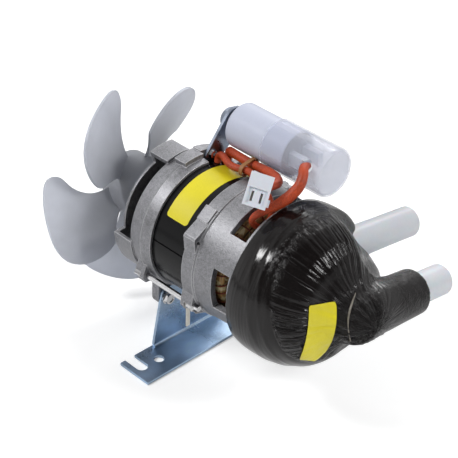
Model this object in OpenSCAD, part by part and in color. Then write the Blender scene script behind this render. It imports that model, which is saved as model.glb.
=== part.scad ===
// Motor-driven circulation pump with a cooling fan, on a bent sheet-metal foot.
// The drive axis runs along X, fan at the low end and pump head at the high end.
// The origin lies on the underside of the foot, midway between its two bolt holes.

/* [Foot bracket] */
// Height of the drive axis above the underside of the foot
axis_h = 90; // [86:1:100]
// Thickness of the bracket sheet
sheet_t = 2; // [1.5:0.1:2.2]
// Length of the foot across the drive axis
foot_len = 120; // [116:1:140]
// Depth of the foot along the drive axis
foot_depth = 27; // [25:0.5:32]
// Distance between the two bolt holes
foot_hole_gap = 77; // [74:1:84]
// Diameter of the bolt holes
foot_hole_d = 7; // [5:0.5:9]
// Distance between the two open slots
foot_slot_gap = 104; // [100:1:108]
// Width of the open slots
foot_slot_w = 8; // [6:0.5:9]
// Width of the upright at its foot
upright_foot_w = 65; // [58:1:68]
// Width of the upright at its top
upright_top_w = 51; // [51:1:56]
// Distance between the two bracket bolts
bracket_bolt_gap = 42; // [40:1:43]
// Depth of the bracket bolts below the drive axis
bracket_bolt_drop = 53; // [52:0.5:55]

/* [Motor] */
// Radius of the stator stack
stator_r = 42; // [41.5:0.1:42.3]
// Length of the stator stack
stack_len = 58; // [54:1:60]
// Length of the stack left bare between the two shields
bare_len = 30; // [26:1:34]
// Radius of the stator bore
bore_r = 22.4; // [21.5:0.1:23]
// Air gap between rotor and stator
air_gap = 0.4; // [0.3:0.05:0.6]
// Number of stator slots
slot_count = 24; // [12:6:24]
// Number of rotor bars seen as balance fins on the end rings
fin_count = 8; // [6:1:10]
// Radius of the drive shaft
shaft_r = 4; // [3.5:0.1:4.2]
// Radius of the thick middle of the drive shaft
shaft_mid_r = 5; // [4.8:0.1:5.4]
// Outer radius of the ball bearings
bearing_r = 11; // [11:0.1:11.5]
// Width of the ball bearings
bearing_w = 7; // [6:0.5:7]

/* [End shields] */
// Radius of the rear shield at its widest step
rear_r = 45.2; // [44.8:0.1:46]
// Radius of the front shield
front_r = 46; // [45.5:0.1:46.5]
// Radius at which the tie rods run
rod_pitch_r = 47.5; // [47.3:0.1:48]
// Radius of the tie rods
rod_r = 1.9; // [1.6:0.1:2]
// Angle of the tie rods below the horizontal, measured round the axis
rod_angle = 210; // [206:1:212]

/* [Fan] */
// Number of fan blades
blade_count = 5; // [3:1:5]
// Pitch of the fan blades
blade_pitch = 28; // [20:1:32]
// Thickness of a fan blade
blade_t = 1.8; // [1.4:0.1:2.4]
// Camber radius of a fan blade
blade_camber_r = 170; // [140:5:260]
// Outer radius of the fan hub
fan_hub_r = 21; // [20:0.5:23]

/* [Pump head] */
// Radius of the chamber inside the pump casing
chamber_r = 33; // [31:0.5:34]
// Wall of the pump casing
casing_wall = 3; // [2.5:0.1:3.2]
// Radius of the flange of the pump casing
flange_r = 44; // [43.5:0.1:44.5]
// Radius of the spigots at their tips
spigot_r = 10; // [9.5:0.1:10.2]
// Radius of the bore of the spigots
spigot_bore_r = 8; // [7:0.1:8.3]
// Extra radius of the spigots at their roots
spigot_swell = 0.8; // [0.4:0.1:1]
// Length of the straight hose seat at each spigot tip
hose_seat = 24; // [18:1:26]
// Slope of the spigots below the horizontal
spigot_slope = 8.5; // [6:0.5:10]
// Reach of the outlet spigot from the drive axis
outlet_reach = 94; // [88:1:100]
// Reach of the inlet spigot from the drive axis
inlet_reach = 81; // [78:1:90]
// Height of the outlet spigot above the drive axis
outlet_rise = 18; // [16:0.5:20]
// Radius of the impeller
impeller_r = 28; // [26:0.5:29]
// Number of impeller vanes
vane_count = 6; // [4:1:8]

/* [Insulation] */
// Radius of the insulation jacket at its widest
jacket_r = 50.5; // [49.8:0.1:52]
// Radius of the inlet sleeve at its root
sleeve_root_r = 17; // [16:0.1:17.5]
// Radius of the inlet sleeve at its open end
sleeve_tip_r = 14.6; // [14:0.1:15]
// Length of the inlet sleeve from the drive axis
sleeve_reach = 53; // [48:1:56]

/* [Capacitor] */
// Radius of the capacitor can
can_r = 15; // [14:0.1:15.2]
// Length of the capacitor can
can_len = 49; // [45:1:51]
// Wall of the terminal cap
cap_wall = 1; // [0.8:0.1:1.2]
// Length of the terminal cap
cap_len = 48; // [46:1:50]
// Sideways place of the capacitor from the drive axis
can_side = 32.5; // [31.5:0.5:34]
// Height of the capacitor above the drive axis
can_rise = 60.5; // [60:0.5:63]
// Thickness of the arm that carries the capacitor
arm_t = 2; // [1.5:0.1:2.4]

/* [Leads] */
// Diameter of the sleeving on the capacitor lead
cap_lead_d = 7; // [6:0.1:7.2]
// Diameter of the sleeving on the supply lead
supply_lead_d = 6; // [5:0.1:6.2]

/* [Hidden] */
$fn = 96;

// Small clearances between pieces
slip = 0.03;
snug = 0.15;
soft_gap = 0.3;
cut = 1;

// Stations along the drive axis, from the fan to the pump
bare_x = -2;
rear_x = bare_x;
front_x = bare_x + bare_len;
stack_x0 = bare_x + (bare_len - stack_len) / 2;
stack_x1 = stack_x0 + stack_len;
rear_ring_x = -21;
rear_disc_x = -36;
rear_disc_t = 2.4;
rear_boss_x = -42.5;
front_window_x = 53;
front_disc_x = 66;
pump_x = 70;
plate_t = 4;
gasket_t = 1;
flange_t = 4;
casing_x = pump_x + plate_t + gasket_t;
chamber_x1 = 99;
casing_x1 = chamber_x1 + casing_wall;
outlet_x = 88;
inlet_x = 129;
fan_x = -68;

// Places a drawing made across the drive axis at station x
module on_axis(x = 0) {
    translate([x, 0, axis_h]) rotate([90, 0, 90]) children();
}

// A point at radius r and angle a, measured from +Y towards +Z
function polar(r, a) = [r * cos(a), r * sin(a)];

// A pie slice used to cut windows and legs
module slice(r, a0, a1) {
    steps = 12;
    polygon(concat([[0, 0]], [for (i = [0:steps]) polar(r / cos((a1 - a0) / steps / 2), a0 + (a1 - a0) * i / steps)]));
}

// A straight tube along the axis
module tube(r_out, r_in, x0, x1) {
    on_axis(x0) difference() {
        cylinder(r = r_out, h = x1 - x0);
        translate([0, 0, -cut]) cylinder(r = r_in, h = x1 - x0 + 2 * cut);
    }
}

// A closed profile of [radius, station] points turned about the drive axis
module turned(points) {
    on_axis(0) rotate_extrude() polygon(points);
}

// A hexagon across its flats
module hexagon(flats) {
    circle(d = flats / cos(30), $fn = 6);
}

/* Foot bracket */

bend_r = 2;
upright_top = axis_h - rear_r - 0.3;
upright_x0 = -foot_depth / 2;
upright_corner_r = 4;
slot_end_x = -1.5;
bolt_r = 2;
bolt_hole_r = 2.2;
washer_r = 4.5;
washer_t = 0.8;
head_flats = 7;
head_t = 2.8;

module upright_outline() {
    low = sheet_t + bend_r;
    top = upright_top - upright_corner_r;
    difference() {
        hull() {
            translate([-upright_foot_w / 2, low]) square([upright_foot_w, 0.1]);
            for (s = [-1, 1])
                translate([s * (upright_top_w / 2 - upright_corner_r), top]) circle(r = upright_corner_r, $fn = 32);
        }
        for (s = [-1, 1])
            translate([s * bracket_bolt_gap / 2, axis_h - bracket_bolt_drop]) circle(r = bolt_hole_r);
    }
}

module mounting_bracket() {
    color([0.62, 0.72, 0.85]) {
        difference() {
            translate([upright_x0, -foot_len / 2, 0]) cube([foot_depth, foot_len, sheet_t]);
            for (s = [-1, 1]) {
                translate([0, s * foot_hole_gap / 2, -cut]) cylinder(d = foot_hole_d, h = sheet_t + 2 * cut);
                translate([slot_end_x, s * foot_slot_gap / 2, -cut]) cylinder(d = foot_slot_w, h = sheet_t + 2 * cut);
                translate([upright_x0 - cut, s * foot_slot_gap / 2 - foot_slot_w / 2, -cut])
                    cube([slot_end_x - upright_x0 + cut, foot_slot_w, sheet_t + 2 * cut]);
            }
            translate([upright_x0 - cut, -upright_foot_w / 2, -cut])
                cube([sheet_t + bend_r + cut, upright_foot_w, sheet_t + 2 * cut]);
        }
        translate([upright_x0 + sheet_t + bend_r, upright_foot_w / 2, sheet_t + bend_r])
            rotate([90, 0, 0]) linear_extrude(height = upright_foot_w) intersection() {
                difference() {
                    circle(r = sheet_t + bend_r);
                    circle(r = bend_r);
                }
                translate([-sheet_t - bend_r, -sheet_t - bend_r]) square(sheet_t + bend_r);
            }
        translate([upright_x0, 0, 0]) rotate([90, 0, 90]) linear_extrude(height = sheet_t) upright_outline();
    }
}

module at_bracket_bolts() {
    for (s = [-1, 1])
        translate([upright_x0 + sheet_t, s * bracket_bolt_gap / 2, axis_h - bracket_bolt_drop])
            rotate([90, 0, 90]) children();
}

module bracket_washers() {
    color([0.8, 0.8, 0.78]) at_bracket_bolts() difference() {
        cylinder(r = washer_r, h = washer_t);
        translate([0, 0, -cut]) cylinder(r = bolt_hole_r, h = washer_t + 2 * cut);
    }
}

module bracket_bolts() {
    color([0.85, 0.85, 0.84]) at_bracket_bolts() {
        translate([0, 0, washer_t]) difference() {
            intersection() {
                linear_extrude(height = head_t) hexagon(head_flats);
                cylinder(r1 = head_flats / 2 + 1.6, r2 = head_flats / 2, h = head_t);
            }
            translate([0, 0, head_t - 0.5]) cylinder(r = head_flats / 2 - 1, h = 1);
        }
        translate([0, 0, -sheet_t - ear_t + 1]) cylinder(r = bolt_r, h = sheet_t + ear_t + washer_t);
    }
}

/* End shields */

shield_bore = stator_r + snug;
ear_t = 6;
ear_r = 6;
low_leg_width = 44;
low_leg_angles = [206, 326];
top_leg_from = 83.5;
top_leg_to = 107;
rear_leg_r = 44.3;
leg_wall = 2.3;
disc_r = 36.8;
ring_in_r = 37.2;
ring_rear_r = 43.2;
cavity_r = 37.8;
pad_r = 48;
pad_x = -6.5;
pad_to = 103;
arm_pad_r = 49;
arm_pad_x0 = -16;
notch_from = 52;
notch_to = 83;
lug_apex = rod_pitch_r + 4;
lug_plate_t = 2.8;
rear_lug_x = -7;
rear_lug_len = 8;
nut_flats = 7;
nut_t = 3.2;
rod_hole_r = rod_r + 0.25;

// The tooth-shaped outline of a tie-rod lug at the given angle
module lug_outline(a, inner_r, foot_r) {
    polygon([polar(inner_r, a - 12), polar(foot_r, a - 14), polar(lug_apex, a - 3), polar(lug_apex, a + 3),
             polar(foot_r, a + 14), polar(inner_r, a + 12)]);
}

module at_rods() {
    for (a = [rod_angle, rod_angle - 180]) rotate(a) translate([rod_pitch_r, 0]) rotate(-a) children();
}

// A leg of the rear shield: a thin shell over the windows and the corner of the disc that carries it
module rear_leg(r, a0, a1) {
    on_axis(rear_disc_x) linear_extrude(height = rear_ring_x - rear_disc_x + cut) difference() {
        slice(r, a0, a1);
        circle(r = rear_leg_r - leg_wall);
    }
    on_axis(rear_disc_x) linear_extrude(height = rear_disc_t) difference() {
        slice(r, a0, a1);
        circle(r = disc_r - 5);
    }
}

module rear_shield_body() {
    difference() {
        union() {
            turned([
                [0, rear_boss_x], [13, rear_boss_x], [14.5, rear_boss_x + 2], [15, rear_disc_x],
                [disc_r - 1, rear_disc_x], [disc_r, rear_disc_x + 0.8], [disc_r, rear_disc_x + rear_disc_t],
                [0, rear_disc_x + rear_disc_t]
            ]);
            turned([
                [ring_in_r, rear_ring_x], [ring_rear_r, rear_ring_x],
                [rear_r - 0.8, -10.8], [rear_r, -9.8], [rear_r - 1.2, rear_x],
                [ring_in_r, rear_x]
            ]);
            for (a = low_leg_angles) rear_leg(rear_leg_r, a - low_leg_width / 2, a + low_leg_width / 2);
            rear_leg(rear_r + 0.2, top_leg_from, top_leg_to);
            for (a = [rod_angle, rod_angle - 180])
                on_axis(rear_lug_x - rear_lug_len) linear_extrude(height = rear_lug_len) lug_outline(a, 40, 42.5);
            on_axis(arm_pad_x0) linear_extrude(height = arm_x - arm_pad_x0) difference() {
                slice(arm_pad_r, notch_from + 9, top_leg_from + 1);
                circle(r = 40);
            }
            on_axis(arm_pad_x0) linear_extrude(height = pad_x - arm_pad_x0) difference() {
                slice(pad_r, top_leg_from + 0.5, pad_to);
                circle(r = 40);
            }
            for (s = [-1, 1])
                translate([upright_x0 - ear_t, 0, axis_h]) rotate([90, 0, 90]) linear_extrude(height = ear_t)
                    hull() {
                        translate([s * bracket_bolt_gap / 2, -bracket_bolt_drop]) circle(r = ear_r, $fn = 32);
                        translate([s * (bracket_bolt_gap / 2 - 2), -38]) square([ear_r * 2.6, 1], center = true);
                    }
        }
        on_axis(rear_disc_x + rear_disc_t + 2) cylinder(r = cavity_r, h = stack_x0 - rear_disc_x - rear_disc_t - 2);
        on_axis(stack_x0) cylinder(r = shield_bore, h = rear_x - stack_x0 + cut);
        on_axis(rear_boss_x - cut) cylinder(r = shaft_r + 1, h = 20);
        on_axis(rear_boss_x + 2) cylinder(r = bearing_r + slip, h = 20);
        on_axis(rear_lug_x - lug_plate_t - cut) at_rods() cylinder(r = rod_hole_r, h = lug_plate_t + 2 * cut);
        on_axis(rear_lug_x - rear_lug_len - cut) at_rods()
            cylinder(r = nut_flats / 2 + 1, h = rear_lug_len - lug_plate_t + cut);
        for (s = [-1, 1])
            translate([upright_x0 - ear_t - cut, s * bracket_bolt_gap / 2, axis_h - bracket_bolt_drop])
                rotate([90, 0, 90]) cylinder(r = bolt_r + slip, h = ear_t + 2 * cut);
        translate([arm_x - 9, arm_screw_y, axis_h + arm_screw_z]) rotate([90, 0, 90])
            cylinder(r = arm_screw_r + slip, h = 9 + cut);
        on_axis(arm_x) linear_extrude(height = 12) difference() {
            slice(60, notch_from, notch_to);
            circle(r = 40);
        }
    }
}

module rear_shield() {
    color([0.72, 0.72, 0.74]) rear_shield_body();
}

front_leg_half = 15;
front_leg_angles = [rod_angle - 180 + 4, 180 - (rod_angle - 180 + 4), rod_angle + 4, 360 - (rod_angle - 180 + 4)];
front_lug_len = 9.5;
lug_hole_r = 1.1;
pocket_r = nut_flats / 2 + 0.9;

// The solid lug without a rod: a flat on one side, a short steep face on the other
module blind_lug_outline(a) {
    polygon([polar(43, a - 18), polar(front_r - 0.2, a - 17.5), polar(lug_apex - 1, a - 2.8), polar(lug_apex - 0.9, a - 0.8),
             polar(front_r - 0.2, a + 9), polar(43, a + 9.5)]);
}

module front_shield() {
    color([0.74, 0.74, 0.76]) difference() {
        union() {
            turned([
                [0, front_x], [front_r - 0.8, front_x], [front_r, front_x + 0.8], [front_r, front_x + 10],
                [front_r - 0.9, front_x + 11], [front_r - 1.6, front_window_x],
                [front_r - 2, front_disc_x], [front_r - 2, pump_x], [0, pump_x]
            ]);
            for (a = [rod_angle, rod_angle - 180])
                on_axis(front_x) linear_extrude(height = front_lug_len) lug_outline(a, 43, front_r - 0.5);
            for (a = [360 - rod_angle, 540 - rod_angle]) {
                on_axis(front_x) linear_extrude(height = front_lug_len) blind_lug_outline(a);
                on_axis(front_x) linear_extrude(height = front_lug_len - 0.5)
                    polygon([polar(43, a - 28), polar(front_r + 1.1, a - 28), polar(front_r + 1.1, a - 16), polar(43, a - 16)]);
            }
        }
        turned([
            [0, front_x - cut], [shield_bore, front_x - cut], [shield_bore, stack_x1],
            [40.6, stack_x1], [40, front_disc_x - 3], [37, front_disc_x], [0, front_disc_x]
        ]);
        for (k = [0:3]) {
            a0 = front_leg_angles[k] + front_leg_half;
            a1 = front_leg_angles[(k + 1) % 4] + (k == 3 ? 360 : 0) - front_leg_half;
            on_axis(front_window_x) linear_extrude(height = front_disc_x - front_window_x) difference() {
                slice(60, a0, a1);
                circle(r = 36);
            }
        }
        on_axis(front_x + lug_plate_t) for (a = [rod_angle, rod_angle - 180])
            rotate(a) translate([rod_pitch_r, 0]) {
                cylinder(r = pocket_r, h = front_lug_len);
                translate([0, -pocket_r]) cube([9, 2 * pocket_r, front_lug_len]);
            }
        on_axis(front_x - cut) at_rods() cylinder(r = rod_hole_r, h = 20);
        on_axis(front_x + front_lug_len - 5) for (a = [360 - rod_angle, 540 - rod_angle])
            rotate(a) translate([front_r + 0.6, 0]) cylinder(r = lug_hole_r, h = 6);
        translate([front_x + lug_plate_t, -51, axis_h - 46]) cube([tab_t + 1, 11.4, 22]);
        on_axis(pump_x - 12) cylinder(r = shaft_r + 1, h = 20);
        for (a = [45:90:315]) on_axis(front_disc_x - cut) rotate(a) translate([plate_screw_r, 0])
            cylinder(r = bolt_r + slip, h = 8);
    }
    color([0.74, 0.74, 0.76]) difference() {
        on_axis(front_disc_x - bearing_w - 1) cylinder(r = bearing_r + 4, h = bearing_w + 2);
        on_axis(front_disc_x - bearing_w - 2) cylinder(r = bearing_r + slip, h = bearing_w + 2);
        on_axis(front_disc_x - 12) cylinder(r = shaft_r + 1, h = 20);
    }
}

/* Stator and rotor */

slot_root_r = 34;
slot_mouth_r = 24.5;
slot_w = 3;
head_in_r = 25;
head_out_r = 37;
rear_head_r = 34;
head_len = 13;
liner = 0.2;
seam_angle = 170;

module slot_pattern(w, r0, r1) {
    for (k = [0:slot_count - 1]) rotate(k * 360 / slot_count) {
        translate([r0, -w / 2]) square([r1 - r0 - w / 2, w]);
        translate([r1 - w / 2, 0]) circle(d = w, $fn = 24);
    }
}

module stator_core() {
    color([0.09, 0.09, 0.1]) on_axis(stack_x0) linear_extrude(height = stack_len) difference() {
        circle(r = stator_r);
        circle(r = bore_r);
        slot_pattern(slot_w, slot_mouth_r, slot_root_r);
        for (k = [0:slot_count - 1]) rotate(k * 360 / slot_count)
            translate([bore_r - 1, -0.6]) square([4, 1.2]);
        for (k = [0:3]) rotate(seam_angle + k * 90) translate([stator_r - 0.7, -0.6]) square([2, 1.2]);
    }
}

module winding_head(x0, r_out) {
    r = 3.5;
    on_axis(x0) rotate_extrude() hull() {
        for (c = [[head_in_r + r, r], [r_out - r, r], [head_in_r + r, head_len - r], [r_out - r, head_len - r]])
            translate(c) circle(r = r, $fn = 32);
    }
}

module windings() {
    color([0.72, 0.42, 0.2]) {
        on_axis(stack_x0 - 2) linear_extrude(height = stack_len + 4)
            slot_pattern(slot_w - 2 * liner, slot_mouth_r + 1.5, slot_root_r - liner);
        winding_head(stack_x0 - head_len - liner, rear_head_r);
        winding_head(stack_x1 + liner, head_out_r);
    }
}

rotor_r = bore_r - air_gap;
end_ring_t = 4;
fin_t = 1.6;
fin_h = 4;

module rotor_core() {
    color([0.5, 0.5, 0.52]) {
        tube(rotor_r, shaft_mid_r + slip, stack_x0, stack_x1);
        for (side = [0, 1]) {
            x0 = side == 0 ? stack_x0 - end_ring_t : stack_x1;
            tube(rotor_r - 1.4, rotor_r - 8, x0, x0 + end_ring_t);
            on_axis(side == 0 ? x0 - fin_h : x0 + end_ring_t) linear_extrude(height = fin_h)
                for (k = [0:fin_count - 1]) rotate(k * 360 / fin_count)
                    translate([rotor_r - 7.4, -fin_t / 2]) square([5.4, fin_t]);
        }
    }
}

rear_bearing_x = rear_boss_x + 2 + 0.8;
front_bearing_x = front_disc_x - bearing_w;
shaft_x0 = -79;
shaft_x1 = 96;

module rotor_shaft() {
    color([0.8, 0.8, 0.8]) {
        on_axis(shaft_x0) cylinder(r1 = shaft_r - 0.6, r2 = shaft_r, h = 0.6);
        on_axis(shaft_x0 + 0.6) cylinder(r = shaft_r, h = shaft_x1 - shaft_x0 - 1.2);
        on_axis(shaft_x1 - 0.6) cylinder(r1 = shaft_r, r2 = shaft_r - 0.6, h = 0.6);
        on_axis(rear_bearing_x + bearing_w) cylinder(r = shaft_mid_r, h = front_bearing_x - rear_bearing_x - bearing_w);
    }
}

ball_r = 1.7;
ball_pitch_r = 7.55;
outer_groove_r = 1.68;
inner_groove_r = 1.78;
ball_count = 7;
inner_ring_r = 6.5;
outer_ring_in_r = 8.6;
shield_in_r = 6.8;
shield_t = 0.4;

module bearing_outer(x) {
    color([0.78, 0.78, 0.8]) on_axis(x) rotate_extrude() difference() {
        union() {
            translate([outer_ring_in_r, 0]) square([bearing_r - outer_ring_in_r, bearing_w]);
            translate([shield_in_r, 0.3]) square([outer_ring_in_r - shield_in_r + 0.2, shield_t]);
            translate([shield_in_r, bearing_w - 0.3 - shield_t]) square([outer_ring_in_r - shield_in_r + 0.2, shield_t]);
        }
        translate([ball_pitch_r, bearing_w / 2]) circle(r = outer_groove_r);
    }
}

module bearing_inner(x) {
    color([0.78, 0.78, 0.8]) on_axis(x) rotate_extrude() difference() {
        translate([shaft_r + slip, 0]) square([inner_ring_r - shaft_r - slip, bearing_w]);
        translate([ball_pitch_r, bearing_w / 2]) circle(r = inner_groove_r);
    }
}

module bearing_balls(x) {
    color([0.85, 0.85, 0.87]) on_axis(x + bearing_w / 2)
        for (k = [0:ball_count - 1]) rotate(k * 360 / ball_count) translate([ball_pitch_r, 0, 0]) sphere(r = ball_r, $fn = 32);
}

module rear_bearing_outer() {
    bearing_outer(rear_bearing_x);
}

module rear_bearing_inner() {
    bearing_inner(rear_bearing_x);
}

module rear_bearing_balls() {
    bearing_balls(rear_bearing_x);
}

module front_bearing_outer() {
    bearing_outer(front_bearing_x);
}

module front_bearing_inner() {
    bearing_inner(front_bearing_x);
}

module front_bearing_balls() {
    bearing_balls(front_bearing_x);
}

module wave_washer() {
    color([0.6, 0.6, 0.6]) tube(bearing_r - 0.4, bearing_r - 2.4, rear_boss_x + 2, rear_bearing_x);
}

/* Tie rods and earth tab */

rod_x0 = rear_lug_x - lug_plate_t - nut_t - 2.6;
rod_x1 = front_x + lug_plate_t + nut_t + 6;
spring_washer_t = 0.9;
tab_t = 0.8;
tab_w = 2.8;
tab_len = 15;

module tie_rods() {
    color([0.86, 0.86, 0.84]) on_axis(rod_x0) at_rods() cylinder(r = rod_r, h = rod_x1 - rod_x0);
}

module rod_nut(x) {
    on_axis(x) at_rods() difference() {
        intersection() {
            linear_extrude(height = nut_t) hexagon(nut_flats);
            cylinder(r1 = nut_flats / 2 + 0.5, r2 = nut_flats / 2 + 0.5, h = nut_t);
        }
        translate([0, 0, -cut]) cylinder(r = rod_r + slip, h = nut_t + 2 * cut);
    }
}

module tie_rod_nuts() {
    color([0.86, 0.86, 0.84]) {
        rod_nut(front_x + lug_plate_t + tab_t + spring_washer_t);
        rod_nut(rear_lug_x - lug_plate_t - nut_t);
    }
}

module tie_rod_washers() {
    color([0.7, 0.7, 0.7]) on_axis(front_x + lug_plate_t + tab_t) at_rods() difference() {
        cylinder(r = 3.5, h = spring_washer_t);
        translate([0, 0, -cut]) cylinder(r = rod_r + slip, h = spring_washer_t + 2 * cut);
    }
}

module earth_tab() {
    color([0.85, 0.8, 0.7]) on_axis(front_x + lug_plate_t) rotate(rod_angle) translate([rod_pitch_r, 0]) rotate(-rod_angle)
        linear_extrude(height = tab_t) difference() {
            union() {
                circle(r = 3.6);
                translate([-tab_w / 2 - 1, -tab_len - 2]) square([tab_w, tab_len]);
            }
            circle(r = rod_r + slip);
        }
}

/* Fan */

// A point on a cubic curve
function curve(a, b, c, d, t) =
    pow(1 - t, 3) * a + 3 * pow(1 - t, 2) * t * b + 3 * (1 - t) * t * t * c + pow(t, 3) * d;
function curve_points(a, b, c, d, n) = [for (i = [0:n - 1]) curve(a, b, c, d, i / n)];

// Blade outline: along the blade from the hub, and across it
blade_root = [16, -6];
blade_waist = [44, -17];
blade_lead = [55, -29];
blade_tip = [72.5, 8];
blade_trail = [45, 34];
blade_barb = [30, 30.5];
blade_back = [16, 11];
hub_x0 = fan_x - 8;
hub_x1 = fan_x + 22;
hub_wall = 2;
hub_bore_r = 8;
hub_bore_len = 18;
hub_rib_len = 14;

module blade_outline() {
    polygon(concat(
        curve_points(blade_root, [28, -4], [38, -8], blade_waist, 8),
        curve_points(blade_waist, [47, -22], [47, -29], blade_lead, 8),
        curve_points(blade_lead, [64, -29], [72.5, -8], blade_tip, 12),
        curve_points(blade_tip, [72.5, 24], [62, 34], blade_trail, 12),
        curve_points(blade_trail, [39, 34], [34, 33], blade_barb, 5),
        curve_points(blade_barb, [27, 27], [24, 14], blade_back, 6),
        [blade_back]
    ));
}

module blade() {
    rotate([0, blade_pitch, 0]) intersection() {
        translate([0, 0, -20]) linear_extrude(height = 40) rotate(90) blade_outline();
        translate([0, 0, -blade_camber_r]) rotate([-90, 0, 0]) difference() {
            cylinder(r = blade_camber_r + blade_t / 2, h = 80, $fn = 192);
            translate([0, 0, -cut]) cylinder(r = blade_camber_r - blade_t / 2, h = 90, $fn = 192);
        }
    }
}

module fan() {
    color([0.86, 0.87, 0.92]) difference() {
        union() {
            on_axis(fan_x) for (k = [0:blade_count - 1]) rotate(185 - 90 + k * 360 / blade_count) blade();
            on_axis(hub_x0) difference() {
                cylinder(r1 = fan_hub_r - 1, r2 = fan_hub_r, h = hub_x1 - hub_x0);
                translate([0, 0, hub_wall]) cylinder(r1 = fan_hub_r - hub_wall - 1, r2 = fan_hub_r - hub_wall, h = hub_x1 - hub_x0);
            }
            on_axis(hub_x0) cylinder(r = hub_bore_r, h = hub_bore_len);
            on_axis(hub_x0) linear_extrude(height = hub_rib_len)
                for (k = [0:4]) rotate(k * 72) translate([hub_bore_r - 1, -0.8]) square([fan_hub_r - hub_bore_r - 0.5, 1.6]);
        }
        on_axis(hub_x0 - cut) cylinder(r = shaft_r + slip, h = hub_x1 - hub_x0);
        difference() {
            on_axis(hub_x0 + hub_wall) cylinder(r1 = fan_hub_r - hub_wall - 1, r2 = fan_hub_r - hub_wall, h = hub_x1 - hub_x0);
            on_axis(hub_x0) cylinder(r = hub_bore_r, h = hub_bore_len);
            on_axis(hub_x0) linear_extrude(height = hub_rib_len)
                for (k = [0:4]) rotate(k * 72) translate([hub_bore_r - 1, -0.8]) square([fan_hub_r - hub_bore_r - 0.5, 1.6]);
        }
    }
}

module fan_clip() {
    color([0.6, 0.6, 0.62]) difference() {
        tube(7, shaft_r + slip, hub_x0 - 1, hub_x0);
        for (k = [0:5]) on_axis(hub_x0 - 2) rotate(k * 60) translate([shaft_r - 1, -0.4, 0]) cube([2.6, 0.8, 4]);
    }
}

/* Pump head */

plate_r = 45.5;
plate_screw_r = 30;
casing_screw_r = 40.5;
casing_screw_count = 6;
casing_screw_turn = -8;
cup_r = 12;
seat_r = 10;
seal_face_x = 75.6;
pan_r = 3.8;
pan_t = 2.4;
neck_r = 10;
neck_bore_r = 8;
neck_x1 = 116;
elbow_r = 12.5;
elbow_x0 = 105;
knee = 3;
knee_swell = 0.5;
root_len = 20;
bore_len = 34;
throat_step = 0.6;

module at_spigot(x, rise) {
    translate([x, 0, axis_h]) rotate([-90 - spigot_slope, 0, 0]) translate([0, -rise, 0]) children();
}

// Outer skin of a spigot from its root to its rounded tip
module spigot_skin(from, reach) {
    tip = 1.2;
    rotate_extrude() polygon(concat(
        [[0, from], [spigot_r + spigot_swell, from], [spigot_r, reach - hose_seat]],
        [for (a = [0:15:90]) [spigot_r - tip + tip * cos(a), reach - tip + tip * sin(a)]],
        [[0, reach]]
    ));
}

module pump_back_plate() {
    color([0.9, 0.9, 0.88]) difference() {
        on_axis(pump_x) cylinder(r = plate_r, h = plate_t);
        on_axis(pump_x - cut) cylinder(r = 7.5, h = 20);
        on_axis(pump_x + 1) cylinder(r = cup_r + slip, h = 20);
        for (k = [0:casing_screw_count - 1]) on_axis(pump_x - cut) rotate(k * 60 + casing_screw_turn) translate([casing_screw_r, 0])
            cylinder(r = bolt_r + slip, h = 20);
        for (a = [45:90:315]) on_axis(pump_x) rotate(a) translate([plate_screw_r, 0]) {
            translate([0, 0, -cut]) cylinder(r = bolt_r + 0.2, h = 20);
            translate([0, 0, plate_t - 2.2]) cylinder(r1 = bolt_r + 0.2, r2 = bolt_r + 2.4, h = 2.2);
        }
    }
}

module back_plate_screws() {
    color([0.75, 0.75, 0.75]) for (a = [45:90:315]) on_axis(pump_x) rotate(a) translate([plate_screw_r, 0]) difference() {
        union() {
            translate([0, 0, -4]) cylinder(r = bolt_r, h = 4 + plate_t - 2);
            translate([0, 0, plate_t - 2.2]) cylinder(r1 = bolt_r, r2 = bolt_r + 2, h = 2);
        }
        translate([0, 0, plate_t - 1.2]) cylinder(r = 1.3, h = 3, $fn = 6);
    }
}

module chamber_gasket() {
    color([0.12, 0.12, 0.12]) on_axis(pump_x + plate_t) linear_extrude(height = gasket_t) difference() {
        circle(r = flange_r - 0.5);
        circle(r = chamber_r + 0.5);
        for (k = [0:casing_screw_count - 1]) rotate(k * 60 + casing_screw_turn) translate([casing_screw_r, 0]) circle(r = bolt_r + 0.2);
    }
}

module pump_casing() {
    body_r = chamber_r + casing_wall;
    color([0.9, 0.9, 0.92]) difference() {
        union() {
            on_axis(casing_x) cylinder(r = flange_r, h = flange_t);
            turned([
                [0, casing_x], [body_r, casing_x], [body_r, casing_x1 - 2.4], [body_r - 0.7, casing_x1 - 0.7],
                [body_r - 2.4, casing_x1], [neck_r + 3, casing_x1], [neck_r, casing_x1 + 3], [neck_r, neck_x1], [0, neck_x1]
            ]);
            at_spigot(outlet_x, outlet_rise) spigot_skin(0, outlet_reach);
        }
        turned([
            [0, casing_x - cut], [chamber_r, casing_x - cut], [chamber_r, chamber_x1 - 2], [chamber_r - 0.6, chamber_x1 - 0.6],
            [chamber_r - 2, chamber_x1], [neck_bore_r, chamber_x1], [neck_bore_r, neck_x1 + cut], [0, neck_x1 + cut]
        ]);
        at_spigot(outlet_x, outlet_rise) translate([0, 0, 14]) cylinder(r = spigot_bore_r - throat_step, h = outlet_reach);
        at_spigot(outlet_x, outlet_rise) translate([0, 0, outlet_reach - bore_len]) cylinder(r = spigot_bore_r, h = bore_len + cut);
        for (k = [0:casing_screw_count - 1]) on_axis(casing_x - cut) rotate(k * 60 + casing_screw_turn) translate([casing_screw_r, 0])
            cylinder(r = bolt_r + 0.2, h = 20);
        on_axis(neck_x1 - 5) rotate_extrude() translate([neck_r, 0]) circle(r = 1.1, $fn = 32);
    }
}

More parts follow.
